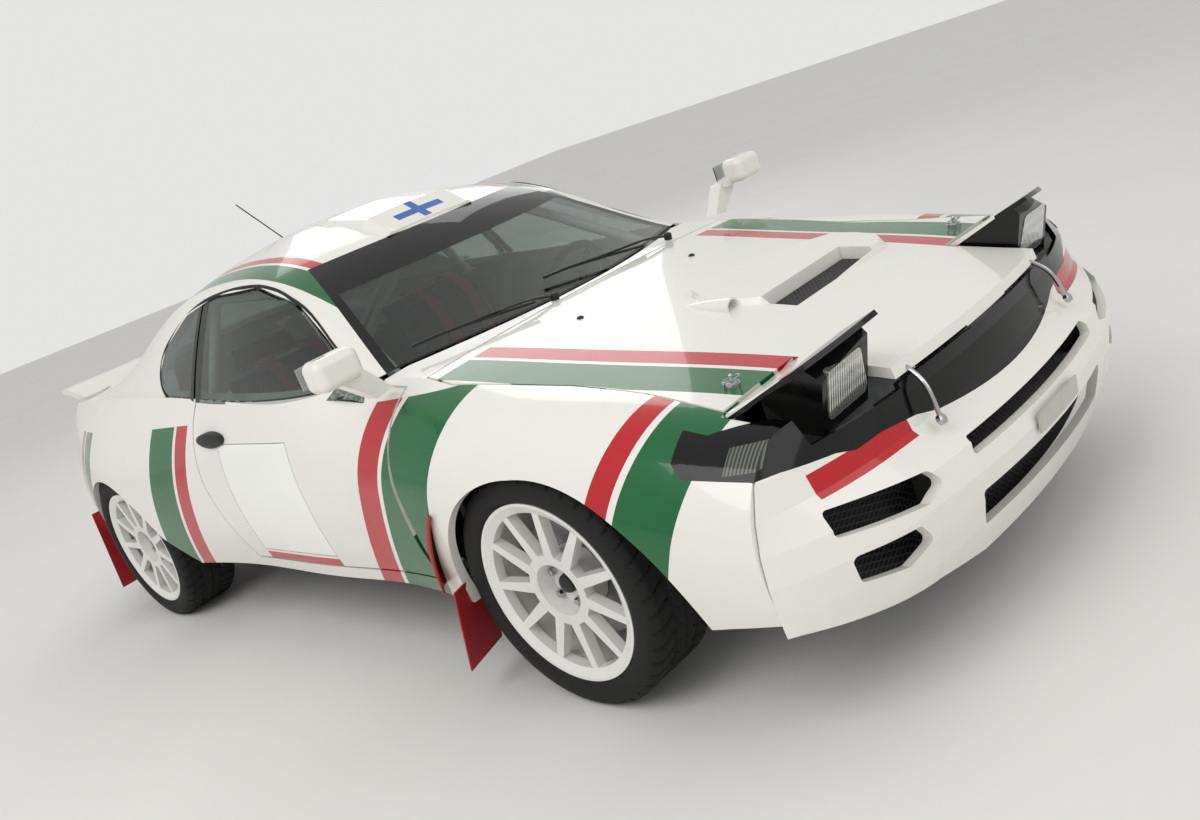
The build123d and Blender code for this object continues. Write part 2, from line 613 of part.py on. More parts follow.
# Front axle: subframe, lower arms, drive shafts and struts with their springs
def strut(x, foot, top, r, spring_r, spring_z):
    """A damper tube up to its tower, with its spring at the top."""
    (y0, z0), (y1, z1) = foot, top
    run = (spring_z - z0) / (z1 - z0)
    return rod((x, y0, z0), (x, y1, z1), r) + rod(
        (x, y0 + (y1 - y0) * run, spring_z), (x, y1, z1 - 4), spring_r
    )


slope = (TOWER_Y - BALL_Y) / (TOWER_Z - BALL_Z)
front_strut = strut(fx, (BALL_Y + slope * (482 - BALL_Z), 482), (TOWER_Y, TOWER_Z), 25, 46, 655)
front_strut = front_strut - block(fx - 100, fx + 100, 300, 800, TOWER_Z, 900)
lower_arm = plan_prism(outline((1200, 330), (1366, 330), (1297, 664), ((1283, 678), (1269, 664))), 200, 217)
shaft = rod((fx, 300, HUB_Z), (fx, 618, HUB_Z), 14)
subframe = block(1180, 1440, -400, 400, 187, 250)
for way in (-1, 1):
    for x0, x1 in [(1196, 1240), (1330, 1376)]:
        subframe = subframe + block(x0, x1, *sorted((way * 366, way * 398)), 250, 372)
front_axle = subframe + lower_arm + mirrored(lower_arm)
front_axle = Compound(front_axle.solids() + both_sides(front_strut).solids() + both_sides(shaft).solids())

# Rear axle: subframe, final drive, propeller shaft, uprights, arms, shafts and struts
rx = REAR_AXLE_X
rear_frame = block(rx - 90, rx + 90, -330, 330, 226, BOOT_Z0)
final_drive = block(rx - 110, rx + 70, -110, 110, 215, BOOT_Z0)
rear_axle = rear_frame + final_drive
rear_strut = strut(rx, (598, 448), (548, 708), 23, 42, 650) - block(rx - 90, rx + 90, 300, 800, 708, 900)
clamp = front_prism(outline((640, 320), (676, 320), (622, 460), (574, 460)), rx - 30, rx + 30)
links = rod((rx + 60, 320, 250), (rx + 20, 655, 280), 14) + rod((rx - 60, 320, 250), (rx - 20, 655, 280), 14)
rear_shaft = rod((rx, 325, 272), (rx, 650, HUB_Z), 13)
corner = rear_upright + clamp + rear_strut + links + rear_shaft
rear_axle = rear_axle + corner + mirrored(corner)
prop = rod((rx + 60, 0, 262), (1180, 0, 262), 30)
rear_axle = rear_axle + prop

engine = block(1180, 1640, -300, 300, 250, 640)
guard = side_prism(
    outline((1196, 187), (1204, 177), (1860, 177), (2056, 214), (2050, 224), (1858, 187)), -330, 330
)
posts = block(1886, 1916, -RAIL_Y1, -RAIL_Y0, 187, 372) + block(1886, 1916, RAIL_Y0, RAIL_Y1, 187, 372)
guard = guard + block(1880, 1922, -RAIL_Y1, RAIL_Y1, 182, 196) + posts
EX_Y = -250.0
exhaust = frame([(1180, EX_Y, 240), (1040, EX_Y, 160), (-1000, EX_Y, 160), (-1700, EX_Y, 172)], 27)
silencer = rod((-1620, EX_Y, 172), (-1990, EX_Y, 180), 62)
exhaust = exhaust + silencer + frame([(-1980, EX_Y, 180), (-2080, EX_Y - 80, 195), (-2190, EX_Y - 80, 200)], 34)
exhaust = cut(exhaust, engine, front_axle)
hanger = rod((-1800, EX_Y, 176), (-1800, EX_Y, BOOT_Z0), 6)
exhaust = exhaust + hanger

# Seats, steering, dashboard and roll cage
SEAT_Y, SEAT_HALF = 350.0, 232.0
seat_side = outline(
    (340, 225), (356, 340), ((240, 352), (110, 372)), ((-20, 470), (-170, 640)), (-262, 700), (-330, 886),
    (-392, 892), (-214, 262), (-190, 225),
)
seat_hollow = outline((420, 306), (-60, 272), ((-128, 290), (-160, 350)), (-330, 940), (420, 940))
seat = side_prism(seat_side, SEAT_Y - SEAT_HALF, SEAT_Y + SEAT_HALF)
seat = seat - side_prism(seat_hollow, SEAT_Y - 184, SEAT_Y + 184)
seat = seat + block(-120, -80, SEAT_Y - 180, SEAT_Y + 180, FLOOR_Z1, 236) + block(220, 260, SEAT_Y - 180, SEAT_Y + 180, FLOOR_Z1, 236)
dash_side = outline((566, 640), (556, 704), ((590, 782), (690, 806)), (884, 796), (884, 640))
dash = side_prism(dash_side, -568, 568)
COLUMN = Vector(-0.936, 0, 0.351)
wheel_centre = Vector(452, SEAT_Y, 758)
column = rod(tuple(wheel_centre - COLUMN * 140), tuple(wheel_centre - COLUMN * 26), 24)
dash = dash + column
turned = Plane(origin=wheel_centre, z_dir=COLUMN)
wheel = turned * (Torus(172, 14) + Pos(0, 0, -8) * Cylinder(34, 24))
for a in (0, 120, 240):
    wheel = wheel + turned * Rot(0, 0, a + 90) * Pos(100, 0, 0) * Box(150, 26, 7)
TUBE_R = 19.0
HOOP_X = -430.0
cage_sides = [
    [
        (HOOP_X, 598, FLOOR_Z1 - 4), (HOOP_X, 628, 850), (HOOP_X, 470, 1160), (180, 452, 1108), (690, 590, 800),
        (740, 590, FLOOR_Z1 - 4),
    ],
    [(HOOP_X, 470, 1160), (-1150, 450, 740), (-1150, 450, BOOT_Z1)],
    [(HOOP_X, 608, 430), (722, 590, 430)],
]
cage = frame([(HOOP_X, -470, 1160), (HOOP_X, 470, 1160)], TUBE_R)
cage = cage + frame([(180, -452, 1108), (180, 452, 1108)], TUBE_R)
cage = cage + frame([(HOOP_X, -601, 280), (HOOP_X, 470, 1160)], TUBE_R)
for way in (-1, 1):
    for run in cage_sides:
        cage = cage + frame([(x, way * y, z) for x, y, z in run], TUBE_R)
cage = cut(cage, dash, floor)

# Door mirrors
stalk = front_prism(outline((730, 852), (786, 846), (878, 926), (878, 950), (800, 940)), 800, 846) - lower
housing = Pos(882, 896, 968) * Box(84, 132, 84)
housing = fillet(housing.edges(), 24)
mirror_piece = housing + (front_prism(outline((810, 926), (878, 926), (878, 960), (810, 950)), 830, 870)) + stalk

# Mudflaps
# Each front flap stands slanted in plan, so that the steered tyre clears it
FLAP_SLANT = 18.0
flap = side_prism(outline((961, 330), (967, 330), (899, 86), (893, 86)), 690, 878)
flap = Pos(966, 878, 0) * Rot(0, 0, -FLAP_SLANT) * Pos(-966, -878, 0) * flap
flap = largest(cut(flap, fender, block(0, 2000, 880, 1000, 0, 600)))
rear_flap = side_prism(outline((-1630, 470), (-1624, 470), (-1700, 104), (-1706, 104)), 600, 826)
rear_flap = largest(cut(rear_flap, rear_bumper, side))

save("floor_pan", floor)
save("roof_frame", roof + cowl)
save("bonnet", bonnet)
save("bonnet_bulge", bonnet_bulge)
pair("fender", fender)
pair("door", door)
save("windscreen", windscreen)
pair("door_glass", door_glass)
save("quarter_glass", both_sides(quarter))
pair("body_side", side)
save("tail_panel", tail_panel)
save("tail_lamps", both_sides(tail_lamp))
save("rear_bumper", rear_bumper)
save("front_bumper", front_bumper)
save("corner_lamps", both_sides(corner_lamp))
save("nose_panel", nose_panel)
pair("lamp_pod", lamp)
pair("lamp_lens", lens)
save("hatch", hatch)
save("hatch_glass", hatch_glass)
save("rear_wing", wing)
save("roof_scoop", scoop)
save("aerial", aerial)
save("mudflaps", Compound(both_sides(flap).solids() + both_sides(rear_flap).solids()))
for end, x in (("front", FRONT_AXLE_X), ("rear", REAR_AXLE_X)):
    pair(f"rim_{end}", Pos(x, TRACK_HALF, HUB_Z) * rim)
    pair(f"tyre_{end}", Pos(x, TRACK_HALF, HUB_Z) * tyre)
pair("knuckle", knuckle)
save("front_axle", front_axle)
save("rear_axle", rear_axle)
save("engine_block", engine)
save("sump_guard", guard)
save("exhaust", exhaust)
save("seats", both_sides(seat))
save("dashboard", dash)
save("steering_wheel", wheel)
save("roll_cage", cage)
pair("door_mirror", mirror_piece)
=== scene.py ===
"""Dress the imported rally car: enamel, glass, rubber, treaded tyres and its small fittings."""

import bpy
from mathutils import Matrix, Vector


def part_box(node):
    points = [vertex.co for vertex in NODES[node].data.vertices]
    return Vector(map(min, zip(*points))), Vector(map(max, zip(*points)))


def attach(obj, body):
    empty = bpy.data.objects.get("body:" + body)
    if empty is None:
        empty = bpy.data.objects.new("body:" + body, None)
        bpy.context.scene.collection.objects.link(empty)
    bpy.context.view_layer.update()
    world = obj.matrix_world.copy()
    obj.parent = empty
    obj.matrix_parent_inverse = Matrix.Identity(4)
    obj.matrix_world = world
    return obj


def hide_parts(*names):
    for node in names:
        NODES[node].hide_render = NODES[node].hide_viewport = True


bl_info = {
    "name": "Rally car dressing",
    "version": (1, 0, 0),
    "blender": (4, 5, 0),
    "location": "View3D > Sidebar > Rally car",
    "description": "Paints a packed rally car and adds its tyres, seals, lamps, belts and bonnet fittings",
    "category": "Object",
}

from math import pi, radians

import bmesh
import bpy
import numpy as np
from bpy.props import FloatProperty, FloatVectorProperty, IntProperty, PointerProperty
from mathutils import Matrix

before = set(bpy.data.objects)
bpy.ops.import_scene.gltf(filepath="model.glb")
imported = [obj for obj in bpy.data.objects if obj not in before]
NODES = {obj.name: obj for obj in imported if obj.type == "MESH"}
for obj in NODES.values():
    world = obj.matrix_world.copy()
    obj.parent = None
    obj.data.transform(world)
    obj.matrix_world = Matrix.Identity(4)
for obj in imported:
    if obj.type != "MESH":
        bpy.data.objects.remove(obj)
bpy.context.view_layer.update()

# Places that the part's source gives, in metres
AXLE_X = {"front": 1.283, "rear": -1.242}
TRACK_HALF, HUB_Z, TYRE_R, TYRE_HALF, RIM_R = 0.713, 0.318, 0.318, 0.1125, 0.2435
HUB_FACE = TRACK_HALF + 0.046
ARCH_R = 0.372
SEAT_Y = 0.350
SIDES = {"left": 1.0, "right": -1.0}
# Cabin side by x: foot half width and z, roof rail half width and z
CABIN = np.array([
    (-1.85, 0.600, 0.850, 0.540, 0.902), (-1.45, 0.655, 0.890, 0.560, 0.942),
    (-1.00, 0.700, 0.905, 0.560, 1.052), (-0.60, 0.735, 0.905, 0.556, 1.170),
    (-0.28, 0.756, 0.885, 0.550, 1.210), (0.00, 0.768, 0.868, 0.556, 1.196),
    (0.24, 0.770, 0.860, 0.566, 1.128), (0.50, 0.766, 0.850, 0.600, 0.985),
    (0.78, 0.735, 0.800, 0.640, 0.826),
])
CABIN_BOW = 0.0093
SIDE_WINDOW = [
    (0.712, 0.838), (0.060, 0.850), (-0.400, 0.880), (-0.545, 0.912), (-0.628, 0.985), (-0.606, 1.062),
    (-0.440, 1.150), (-0.214, 1.186), (0.072, 1.176), (0.283, 1.100), (0.500, 0.956),
]


def linear(code):
    """An sRGB hex colour as linear red, green, blue."""
    c = np.array([int(code[i:i + 2], 16) for i in (1, 3, 5)]) / 255.0
    return tuple(float(v) for v in np.where(c <= 0.04045, c / 12.92, ((c + 0.055) / 1.055) ** 2.4))


def tone(label, words, code):
    """A colour setting with its default from a hex code."""
    return FloatVectorProperty(
        name=label, description=words, subtype="COLOR", size=3, min=0, max=1, default=linear(code)
    )


def length(label, words, default, low, high):
    """A length setting in metres."""
    return FloatProperty(name=label, description=words, default=default, min=low, max=high, unit="LENGTH")


class RallyCarPaint(bpy.types.PropertyGroup):
    """Colours of the car's paint, rubber and metals."""

    white: tone("White", "Main enamel of the body", "#EFEDE6")
    green: tone("Green", "Wide bars of the body's stripes", "#00632F")
    red: tone("Red", "Narrow bars of the body's stripes", "#BE0F1B")
    blue: tone("Blue", "Cross on the roof scoop", "#0F5CB4")
    panel: tone("Panel", "Blank vinyl panels on the doors", "#FAFAF7")
    black: tone("Black", "Gloss moulding of the nose and the lamp housings", "#08090A")
    trim: tone("Trim", "Moulded black plastic and rubber seals", "#151617")
    rim: tone("Rim", "Enamel of the wheel rims", "#E9E8E3")
    rubber: tone("Rubber", "Tyre rubber", "#131314")
    flap: tone("Flap", "Flexible sheet of the mudflaps", "#A81420")
    cloth: tone("Cloth", "Seat cloth", "#17181C")
    belt: tone("Belt", "Harness webbing", "#A9171F")
    floor: tone("Floor", "Studio floor", "#E9E8E5")


class RallyCarSizes(bpy.types.PropertyGroup):
    """Sizes of the added pieces."""

    groove: length("Tread groove", "Depth of the tyres' grooves", 0.007, 0.001, 0.010)
    blocks: IntProperty(
        name="Tread blocks", description="Cross grooves round each tyre", default=44, min=12, max=90
    )
    seal: length("Seal", "Radius of the rubber round the side windows", 0.0065, 0.002, 0.012)
    strap: length("Belt width", "Width of the harness webbing", 0.050, 0.03, 0.08)
    mesh: length("Mesh pitch", "Spacing of the openings' wire mesh", 0.016, 0.006, 0.04)
    stay: length("Stay rod", "Radius of the bonnet's hold-down rods", 0.0055, 0.003, 0.010)


def paint():
    """The scene's colour settings."""
    return bpy.context.scene.rally_car_paint


def sizes():
    """The scene's size settings."""
    return bpy.context.scene.rally_car_sizes


# ---------------------------------------------------------------- meshes


def build(name, parts, body, material, crease=32.0):
    """A mesh object at the origin from a list of (points, faces), facing outwards and riding on a body."""
    points, faces = joined(parts)
    mesh = bpy.data.meshes.new(name)
    mesh.from_pydata(points.tolist(), [], faces)
    bm = bmesh.new()
    bm.from_mesh(mesh)
    bmesh.ops.recalc_face_normals(bm, faces=bm.faces)
    bm.to_mesh(mesh)
    bm.free()
    mesh.polygons.foreach_set("use_smooth", np.ones(len(mesh.polygons), dtype=bool))
    mesh.set_sharp_from_angle(angle=radians(crease))
    mesh.materials.append(material)
    piece = bpy.data.objects.new(name, mesh)
    bpy.context.scene.collection.objects.link(piece)
    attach(piece, body)
    return piece


def grid(points, wrap_u=False, wrap_v=True, caps=True):
    """Points and faces of a surface P(u, v) given as an array (u, v, 3).

    Each face joins neighbours in u and v; a direction that wraps joins its last to its first,
    and caps close the first and last rings with one face each.
    """
    nu, nv = points.shape[:2]
    i = np.arange(nu if wrap_u else nu - 1)[:, None]
    j = np.arange(nv if wrap_v else nv - 1)[None, :]
    a, b = i * nv + j, ((i + 1) % nu) * nv + j
    c, d = ((i + 1) % nu) * nv + (j + 1) % nv, i * nv + (j + 1) % nv
    faces = np.stack([x.ravel() for x in np.broadcast_arrays(a, b, c, d)], axis=1).tolist()
    if caps and wrap_v and not wrap_u:
        faces += [list(range(nv)), list(range((nu - 1) * nv, nu * nv))]
    return points.reshape(-1, 3), faces


def joined(parts):
    """Several (points, faces) as one."""
    points, faces, base = [], [], 0
    for p, f in parts:
        points.append(p)
        faces += [[k + base for k in face] for face in f]
        base += len(p)
    return np.concatenate(points), faces


def round_path(points, steps=8):
    """A smooth run through the given points: a Catmull-Rom curve, each span cut in equal steps."""
    p = np.asarray(points, dtype=float)
    p = np.vstack([2 * p[0] - p[1], p, 2 * p[-1] - p[-2]])
    t = np.linspace(0, 1, steps, endpoint=False)[None, :, None]
    a, b, c, d = (p[k:len(p) - 3 + k, None, :] for k in range(4))
    run = 0.5 * (2 * b + (c - a) * t + (2 * a - 5 * b + 4 * c - d) * t**2 + (3 * b - a - 3 * c + d) * t**3)
    return np.vstack([run.reshape(-1, 3), p[-2]])


def carried(path, section, up=(0.0, 0.0, 1.0), loop=False):
    """A profile (s, h) carried along a path: P(i, j) = path_i + s_j across_i + h_j rise_i."""
    path = np.asarray(path, dtype=float)
    if loop:
        way = np.roll(path, -1, axis=0) - np.roll(path, 1, axis=0)
    else:
        way = np.gradient(path, axis=0)
    way /= np.linalg.norm(way, axis=1, keepdims=True)
    across = np.cross(way, np.broadcast_to(np.asarray(up, dtype=float), way.shape))
    across /= np.maximum(np.linalg.norm(across, axis=1, keepdims=True), 1e-9)
    rise = np.cross(across, way)
    s = np.asarray(section, dtype=float)
    points = path[:, None] + across[:, None] * s[None, :, 0, None] + rise[:, None] * s[None, :, 1, None]
    return grid(points, wrap_u=loop, wrap_v=True, caps=not loop)


def ring(radius, sides=12, flat=1.0):
    """A round or flattened profile: (r cos a, flat r sin a)."""
    a = np.arange(sides) * 2 * pi / sides
    return np.stack([radius * np.cos(a), flat * radius * np.sin(a)], axis=1)


def turned(profile, centre, axis, sides=32):
    """A profile (d, r) turned about an axis n: P(i, a) = c + d_i n + r_i (u cos a + v sin a)."""
    n = np.asarray(axis, dtype=float)
    n /= np.linalg.norm(n)
    u = np.cross(n, (0.0, 0.0, 1.0) if abs(n[2]) < 0.9 else (1.0, 0.0, 0.0))
    u /= np.linalg.norm(u)
    v = np.cross(n, u)
    a = np.arange(sides) * 2 * pi / sides
    p = np.asarray(profile, dtype=float)
    spoke = np.cos(a)[:, None] * u + np.sin(a)[:, None] * v
    points = np.asarray(centre) + p[:, 0, None, None] * n + p[:, 1, None, None] * spoke[None]
    return grid(points)


def surface(x, y, z):
    """Three coordinates, each a grid or a number, as one grid of points."""
    return np.stack(np.broadcast_arrays(x, y, z), axis=-1)


def square(nu, nv):
    """Grids of u and v, each from -1 to 1."""
    return np.meshgrid(np.linspace(-1, 1, nu), np.linspace(-1, 1, nv), indexing="ij")


def shell(front, back):
    """A thin closed plate between two like grids of points: both faces and the strip round their edge."""
    nu, nv = front.shape[:2]
    a, fa = grid(front, wrap_v=False, caps=False)
    b, fb = grid(back, wrap_v=False, caps=False)
    k = np.arange(nu * nv).reshape(nu, nv)
    rim = np.concatenate([k[0, :], k[1:, -1], k[-1, -2::-1], k[-2:0:-1, 0]])
    nxt = np.roll(rim, -1)
    n = nu * nv
    strip = np.stack([rim, nxt, nxt + n, rim + n], axis=1).tolist()
    return np.concatenate([a, b]), fa + [[q + n for q in f] for f in fb] + strip


def cabin_side(x, z):
    """Half width of the cabin's side at (x, z): a line from its foot to its roof rail, bowed out midway."""
    y0, z0, y1, z1 = (np.interp(x, CABIN[:, 0], CABIN[:, k]) for k in (1, 2, 3, 4))
    t = np.clip((z - z0) / (z1 - z0), 0, 1)
    return y0 + (y1 - y0) * t + 4 * CABIN_BOW * t * (1 - t)


# ---------------------------------------------------------------- materials


def feed(tree, node, inputs):
    """Give a node's inputs their values or links."""
    for name, value in inputs.items():
        if isinstance(value, bpy.types.NodeSocket):
            tree.links.new(value, node.inputs[name])
        else:
            node.inputs[name].default_value = value


def add(tree, kind, inputs=None, **settings):
    """Add a node, set its properties, and feed its inputs."""
    node = tree.nodes.new(kind)
    for key, value in settings.items():
        setattr(node, key, value)
    feed(tree, node, inputs or {})
    return node


def blank(name):
    """A new material with one shader, and its tree, shader and Object coordinates."""
    material = bpy.data.materials.new(name)
    material.use_nodes = True
    tree = material.node_tree
    place = add(tree, "ShaderNodeTexCoord").outputs["Object"]
    return material, tree, tree.nodes["Principled BSDF"], place


def calc(tree, how, *values):
    """One arithmetic step on one to three values."""
    return add(tree, "ShaderNodeMath", dict(enumerate(values)), operation=how).outputs[0]


def product(tree, a, b):
    """Two values multiplied."""
    return calc(tree, "MULTIPLY", a, b)


def within(tree, value, low, high):
    """1 where a value lies between two limits, else 0."""
    return calc(tree, "COMPARE", value, (low + high) / 2, (high - low) / 2)


def spread(tree, value, low, high, first=0.0, last=1.0):
    """A value's way from one limit to another, as its way from first to last."""
    return add(tree, "ShaderNodeMapRange", {0: value, 1: low, 2: high, 3: first, 4: last}).outputs[0]


def noise_of(tree, place, scale, detail):
    """Noise with a given number of grains to the metre."""
    return add(tree, "ShaderNodeTexNoise", {"Vector": place, "Scale": scale, "Detail": detail}).outputs["Fac"]


def axes(tree, place):
    """The x, y and z of a point."""
    return add(tree, "ShaderNodeSeparateXYZ", {0: place}).outputs


def relief(tree, height, distance, strength):
    """A normal raised by a height."""
    bump = {"Height": height, "Distance": distance, "Strength": strength}
    return add(tree, "ShaderNodeBump", bump).outputs[0]


def ripple(tree, across, pitch):
    """A sine wave with a real pitch, from -1 to 1."""
    return calc(tree, "SINE", product(tree, across, 2 * pi / pitch))


def shaded(tree, colour, shade):
    """A colour made darker or lighter by a value."""
    return add(tree, "ShaderNodeVectorMath", {0: colour, 3: shade}, operation="SCALE").outputs[0]


def mixed(tree, mask, under, over):
    """One colour laid over another where the mask is 1."""
    node = add(tree, "ShaderNodeMix", {0: mask}, data_type="RGBA")
    for slot, value in ((6, under), (7, over)):
        if isinstance(value, bpy.types.NodeSocket):
            tree.links.new(value, node.inputs[slot])
        else:
            node.inputs[slot].default_value = (*value, 1)
    return node.outputs[2]


def speckled(tree, place, colour, scale, amount):
    """A colour lightened and darkened by noise of a real grain size."""
    shade = spread(tree, noise_of(tree, place, scale, 3.0), 0.3, 0.7, 1 - amount, 1 + amount)
    return shaded(tree, colour, shade)


def grain(tree, shader, place, scale, depth, strength=0.4):
    """Fine noise as bump on a shader."""
    feed(tree, shader, {"Normal": relief(tree, noise_of(tree, place, scale, 4.0), depth, strength)})


def leaning(tree, across, up, lean, bars):
    """Masks of straight bars that lean: each lies between two values of across - lean * up."""
    slid = calc(tree, "MULTIPLY_ADD", up, -lean, across)
    return [(hue, within(tree, slid, low, high)) for hue, low, high in bars]


# Straight bars of the stripes: colour, low and high edge in metres, measured where up is 0
SIDE_BARS = [
    ("red", 0.350, 0.455), ("green", 0.475, 0.700), ("red", 1.268, 1.336), ("green", 1.356, 1.520),
    ("green", -1.050, -0.870), ("red", -0.850, -0.765), ("red", -1.900, -1.840), ("green", -1.820, -1.700),
]
BONNET_BARS = [("green", 0.655, 0.775), ("red", 0.575, 0.640)]
ROOF_BARS = [("green", 0.455, 0.535), ("red", 0.405, 0.442)]
BUMPER_BARS = [("red", 0.400, 0.680)]
# Blank panel of the doors: x from, x to, z from, z to
DOOR_PANEL = (-0.146, 0.330, 0.372, 0.752)
HAIRLINE = 0.002


def enamel(name, panel):
    """Painted steel in two-pack enamel, polished: a wet clear coat over a faint orange peel."""
    material, tree, shader, place = blank(name)
    p = paint()
    x, y, z = axes(tree, place)
    side = calc(tree, "ABSOLUTE", y)
    colour = tuple(p.white)
    # Only outer faces carry the bars: 10 y n_y + n_z is above 0 there, by the normal n
    facing = axes(tree, add(tree, "ShaderNodeTexCoord").outputs["Normal"])
    outwards = calc(tree, "ADD", product(tree, product(tree, y, facing[1]), 10.0), facing[2])
    outer = calc(tree, "GREATER_THAN", outwards, 0.0)
    # By panel: its bars, the two ways they are measured along, their lean, and where they start and end
    layouts = {
        "side": (SIDE_BARS, x, z, 0.5, (z, 0.0, 0.820)),
        "door": (SIDE_BARS, x, z, 0.5, (z, 0.0, 0.820)),
        "bonnet": (BONNET_BARS, side, x, -0.11, (x, 0.95, 1.87)),
        "roof": (ROOF_BARS, side, x, 0.0, (z, 1.02, 1.4)),
        "bumper": (BUMPER_BARS, side, z, 0.0, (z, 0.508, 0.560)),
    }
    if panel in layouts:
        bars, across, up, lean, span = layouts[panel]
        keep = product(tree, within(tree, *span), outer)
        for hue, mask in leaning(tree, across, up, lean, bars):
            colour = mixed(tree, product(tree, mask, keep), colour, tuple(getattr(p, hue)))
    if panel == "door":
        # A blank panel with a hairline round it and a red strip below
        x0, x1, z0, z1 = DOOR_PANEL
        for low, high, bottom, top, hue in (
            (x0 - HAIRLINE, x1 + HAIRLINE, z0 - HAIRLINE, z1 + HAIRLINE, p.trim),
            (x0, x1, z0, z1, p.panel), (x0, x1, z0 - 0.060, z0 - 0.012, p.red),
        ):
            mask = product(tree, within(tree, x, low, high), within(tree, z, bottom, top))
            colour = mixed(tree, product(tree, mask, outer), colour, tuple(hue))
    if panel == "scoop":
        # A plain cross of two bars
        for low, high, half in ((0.16, 0.284, 0.016), (0.228, 0.256, 0.100)):
            mask = product(tree, within(tree, x, low, high), within(tree, y, -half, half))
            colour = mixed(tree, mask, colour, tuple(p.blue))
    # The enamel goes slightly grey towards the sills, in patches by noise
    sill_greying = spread(tree, z, 0.20, 0.46, 0.16, 0.0)
    dust = noise_of(tree, place, 22.0, 5.0)
    colour = mixed(tree, product(tree, sill_greying, dust), colour, linear("#8A8376"))
    feed(tree, shader, {
        "Base Color": speckled(tree, place, colour, 3.0, 0.012),
        "Roughness": spread(tree, dust, 0.3, 0.7, 0.20, 0.27),
        "Specular IOR Level": 0.2, "Coat Weight": 0.8, "Coat Roughness": 0.04,
    })
    grain(tree, shader, place, 420.0, 0.00012, 0.12)
    return material


def plain(
    name, colour, rough, metal=0.0, scale=300.0, depth=0.0002,
    coat=0.0, strength=0.35, speck=0.06, shine=0.5,
):
    """A finish of one colour with its own grain, in roughness, colour and bump."""
    material, tree, shader, place = blank(name)
    noise = noise_of(tree, place, scale * 0.1, 3.0)
    feed(tree, shader, {
        "Base Color": speckled(tree, place, tuple(colour), scale * 0.2, speck),
        "Roughness": spread(tree, noise, 0.3, 0.7, rough * 0.85, min(1.0, rough * 1.15)),
        "Metallic": metal, "Specular IOR Level": shine, "Coat Weight": coat, "Coat Roughness": 0.05,
    })
    grain(tree, shader, place, scale, depth, strength)
    return material


def window_glass(name, colour, border):
    """Float glass, tempered: clear and faintly green, with a baked black border where it is glued."""
    material, tree, shader, place = blank(name)
    x, y, z = axes(tree, place)
    side = calc(tree, "ABSOLUTE", y)
    if border == "screen":
        # Sun band along the top, and a narrow border at the sides and foot
        top = within(tree, z, 1.086, 1.4)
        edge = calc(tree, "GREATER_THAN", side, calc(tree, "MULTIPLY_ADD", x, 0.372, 0.352))
        foot = calc(tree, "LESS_THAN", z, 0.866)
        mask = calc(tree, "MAXIMUM", calc(tree, "MAXIMUM", top, edge), foot)
    elif border == "quarter":
        mask = calc(tree, "MAXIMUM", within(tree, x, -0.335, -0.2), within(tree, z, 0.0, 0.902))
    elif border == "hatch":
        near = calc(tree, "GREATER_THAN", side, 0.400)
        mask = calc(tree, "MAXIMUM", near, within(tree, x, -0.815, -0.7))
    else:
        mask = within(tree, x, -0.31, -0.262)
    feed(tree, shader, {
        "Base Color": mixed(tree, mask, colour, tuple(paint().black)),
        "Transmission Weight": spread(tree, mask, 0.0, 1.0, 1.0, 0.0), "Roughness": 0.03, "IOR": 1.45,
    })
    return material


def tyre_rubber():
    """Carbon-black rubber, moulded: matt, with light dust in patches by noise."""
    material, tree, shader, place = blank("Vulcanised rubber, moulded")
    dust = product(tree, noise_of(tree, place, 60.0, 6.0), 0.10)
    feed(tree, shader, {
        "Base Color": mixed(tree, dust, tuple(paint().rubber), linear("#4A463F")),
        "Roughness": 0.72, "Specular IOR Level": 0.35,
    })
    grain(tree, shader, place, 900.0, 0.0003, 0.5)
    return material


def wheel_enamel(name, x, z):
    """Cast alloy in baked white enamel, with the brake disc's turned iron behind it and dust at the hub."""
    material, tree, shader, place = blank(name)
    moved = add(tree, "ShaderNodeVectorMath", {0: place, 1: (-x, 0.0, -z)}, operation="ADD").outputs[0]
    px, py, pz = axes(tree, moved)
    flat = add(tree, "ShaderNodeCombineXYZ", {0: px, 2: pz}).outputs[0]
    radius = add(tree, "ShaderNodeVectorMath", {0: flat}, operation="LENGTH").outputs["Value"]
    # The disc fills the middle, inboard of the spokes
    inboard = within(tree, calc(tree, "ABSOLUTE", py), 0.0, 0.7165)
    disc = product(tree, within(tree, radius, 0.0, 0.1725), inboard)
    rings = add(
        tree, "ShaderNodeTexWave", {"Vector": flat, "Scale": 90.0},
        wave_type="RINGS", rings_direction="SPHERICAL",
    ).outputs["Fac"]
    iron = mixed(tree, rings, linear("#77787A"), linear("#A3A4A5"))
    dust = product(tree, spread(tree, radius, 0.06, 0.20, 0.22, 0.03), noise_of(tree, place, 40.0, 4.0))
    coat = mixed(tree, dust, tuple(paint().rim), linear("#5B5A57"))
    feed(tree, shader, {
        "Base Color": mixed(tree, disc, coat, iron), "Metallic": disc, "Roughness": 0.34, "Coat Weight": 0.4,
    })
    grain(tree, shader, place, 500.0, 0.0001, 0.2)
    return material


def fluted_lamp():
    """Pressed glass over silvered reflector: bright, with upright flutes 9 mm wide, whose painted shade
    darkens the colour in each trough.
    """
    material, tree, shader, place = blank("Pressed glass over silvered reflector")
    _, y, z = axes(tree, place)
    height = calc(tree, "ADD", ripple(tree, y, 0.009), product(tree, ripple(tree, z, 0.030), 0.35))
    # Painted shade: the flutes' troughs darken the lamp's colour, as light would fall on them
    shade = spread(tree, height, -1.2, 1.2, 0.45, 1.0)
    feed(tree, shader, {
        "Base Color": shaded(tree, linear("#F2F4EE"), shade),
        "Metallic": 0.75, "Roughness": 0.12, "Coat Weight": 1.0, "Normal": relief(tree, height, 0.0016, 0.8),
    })
    return material


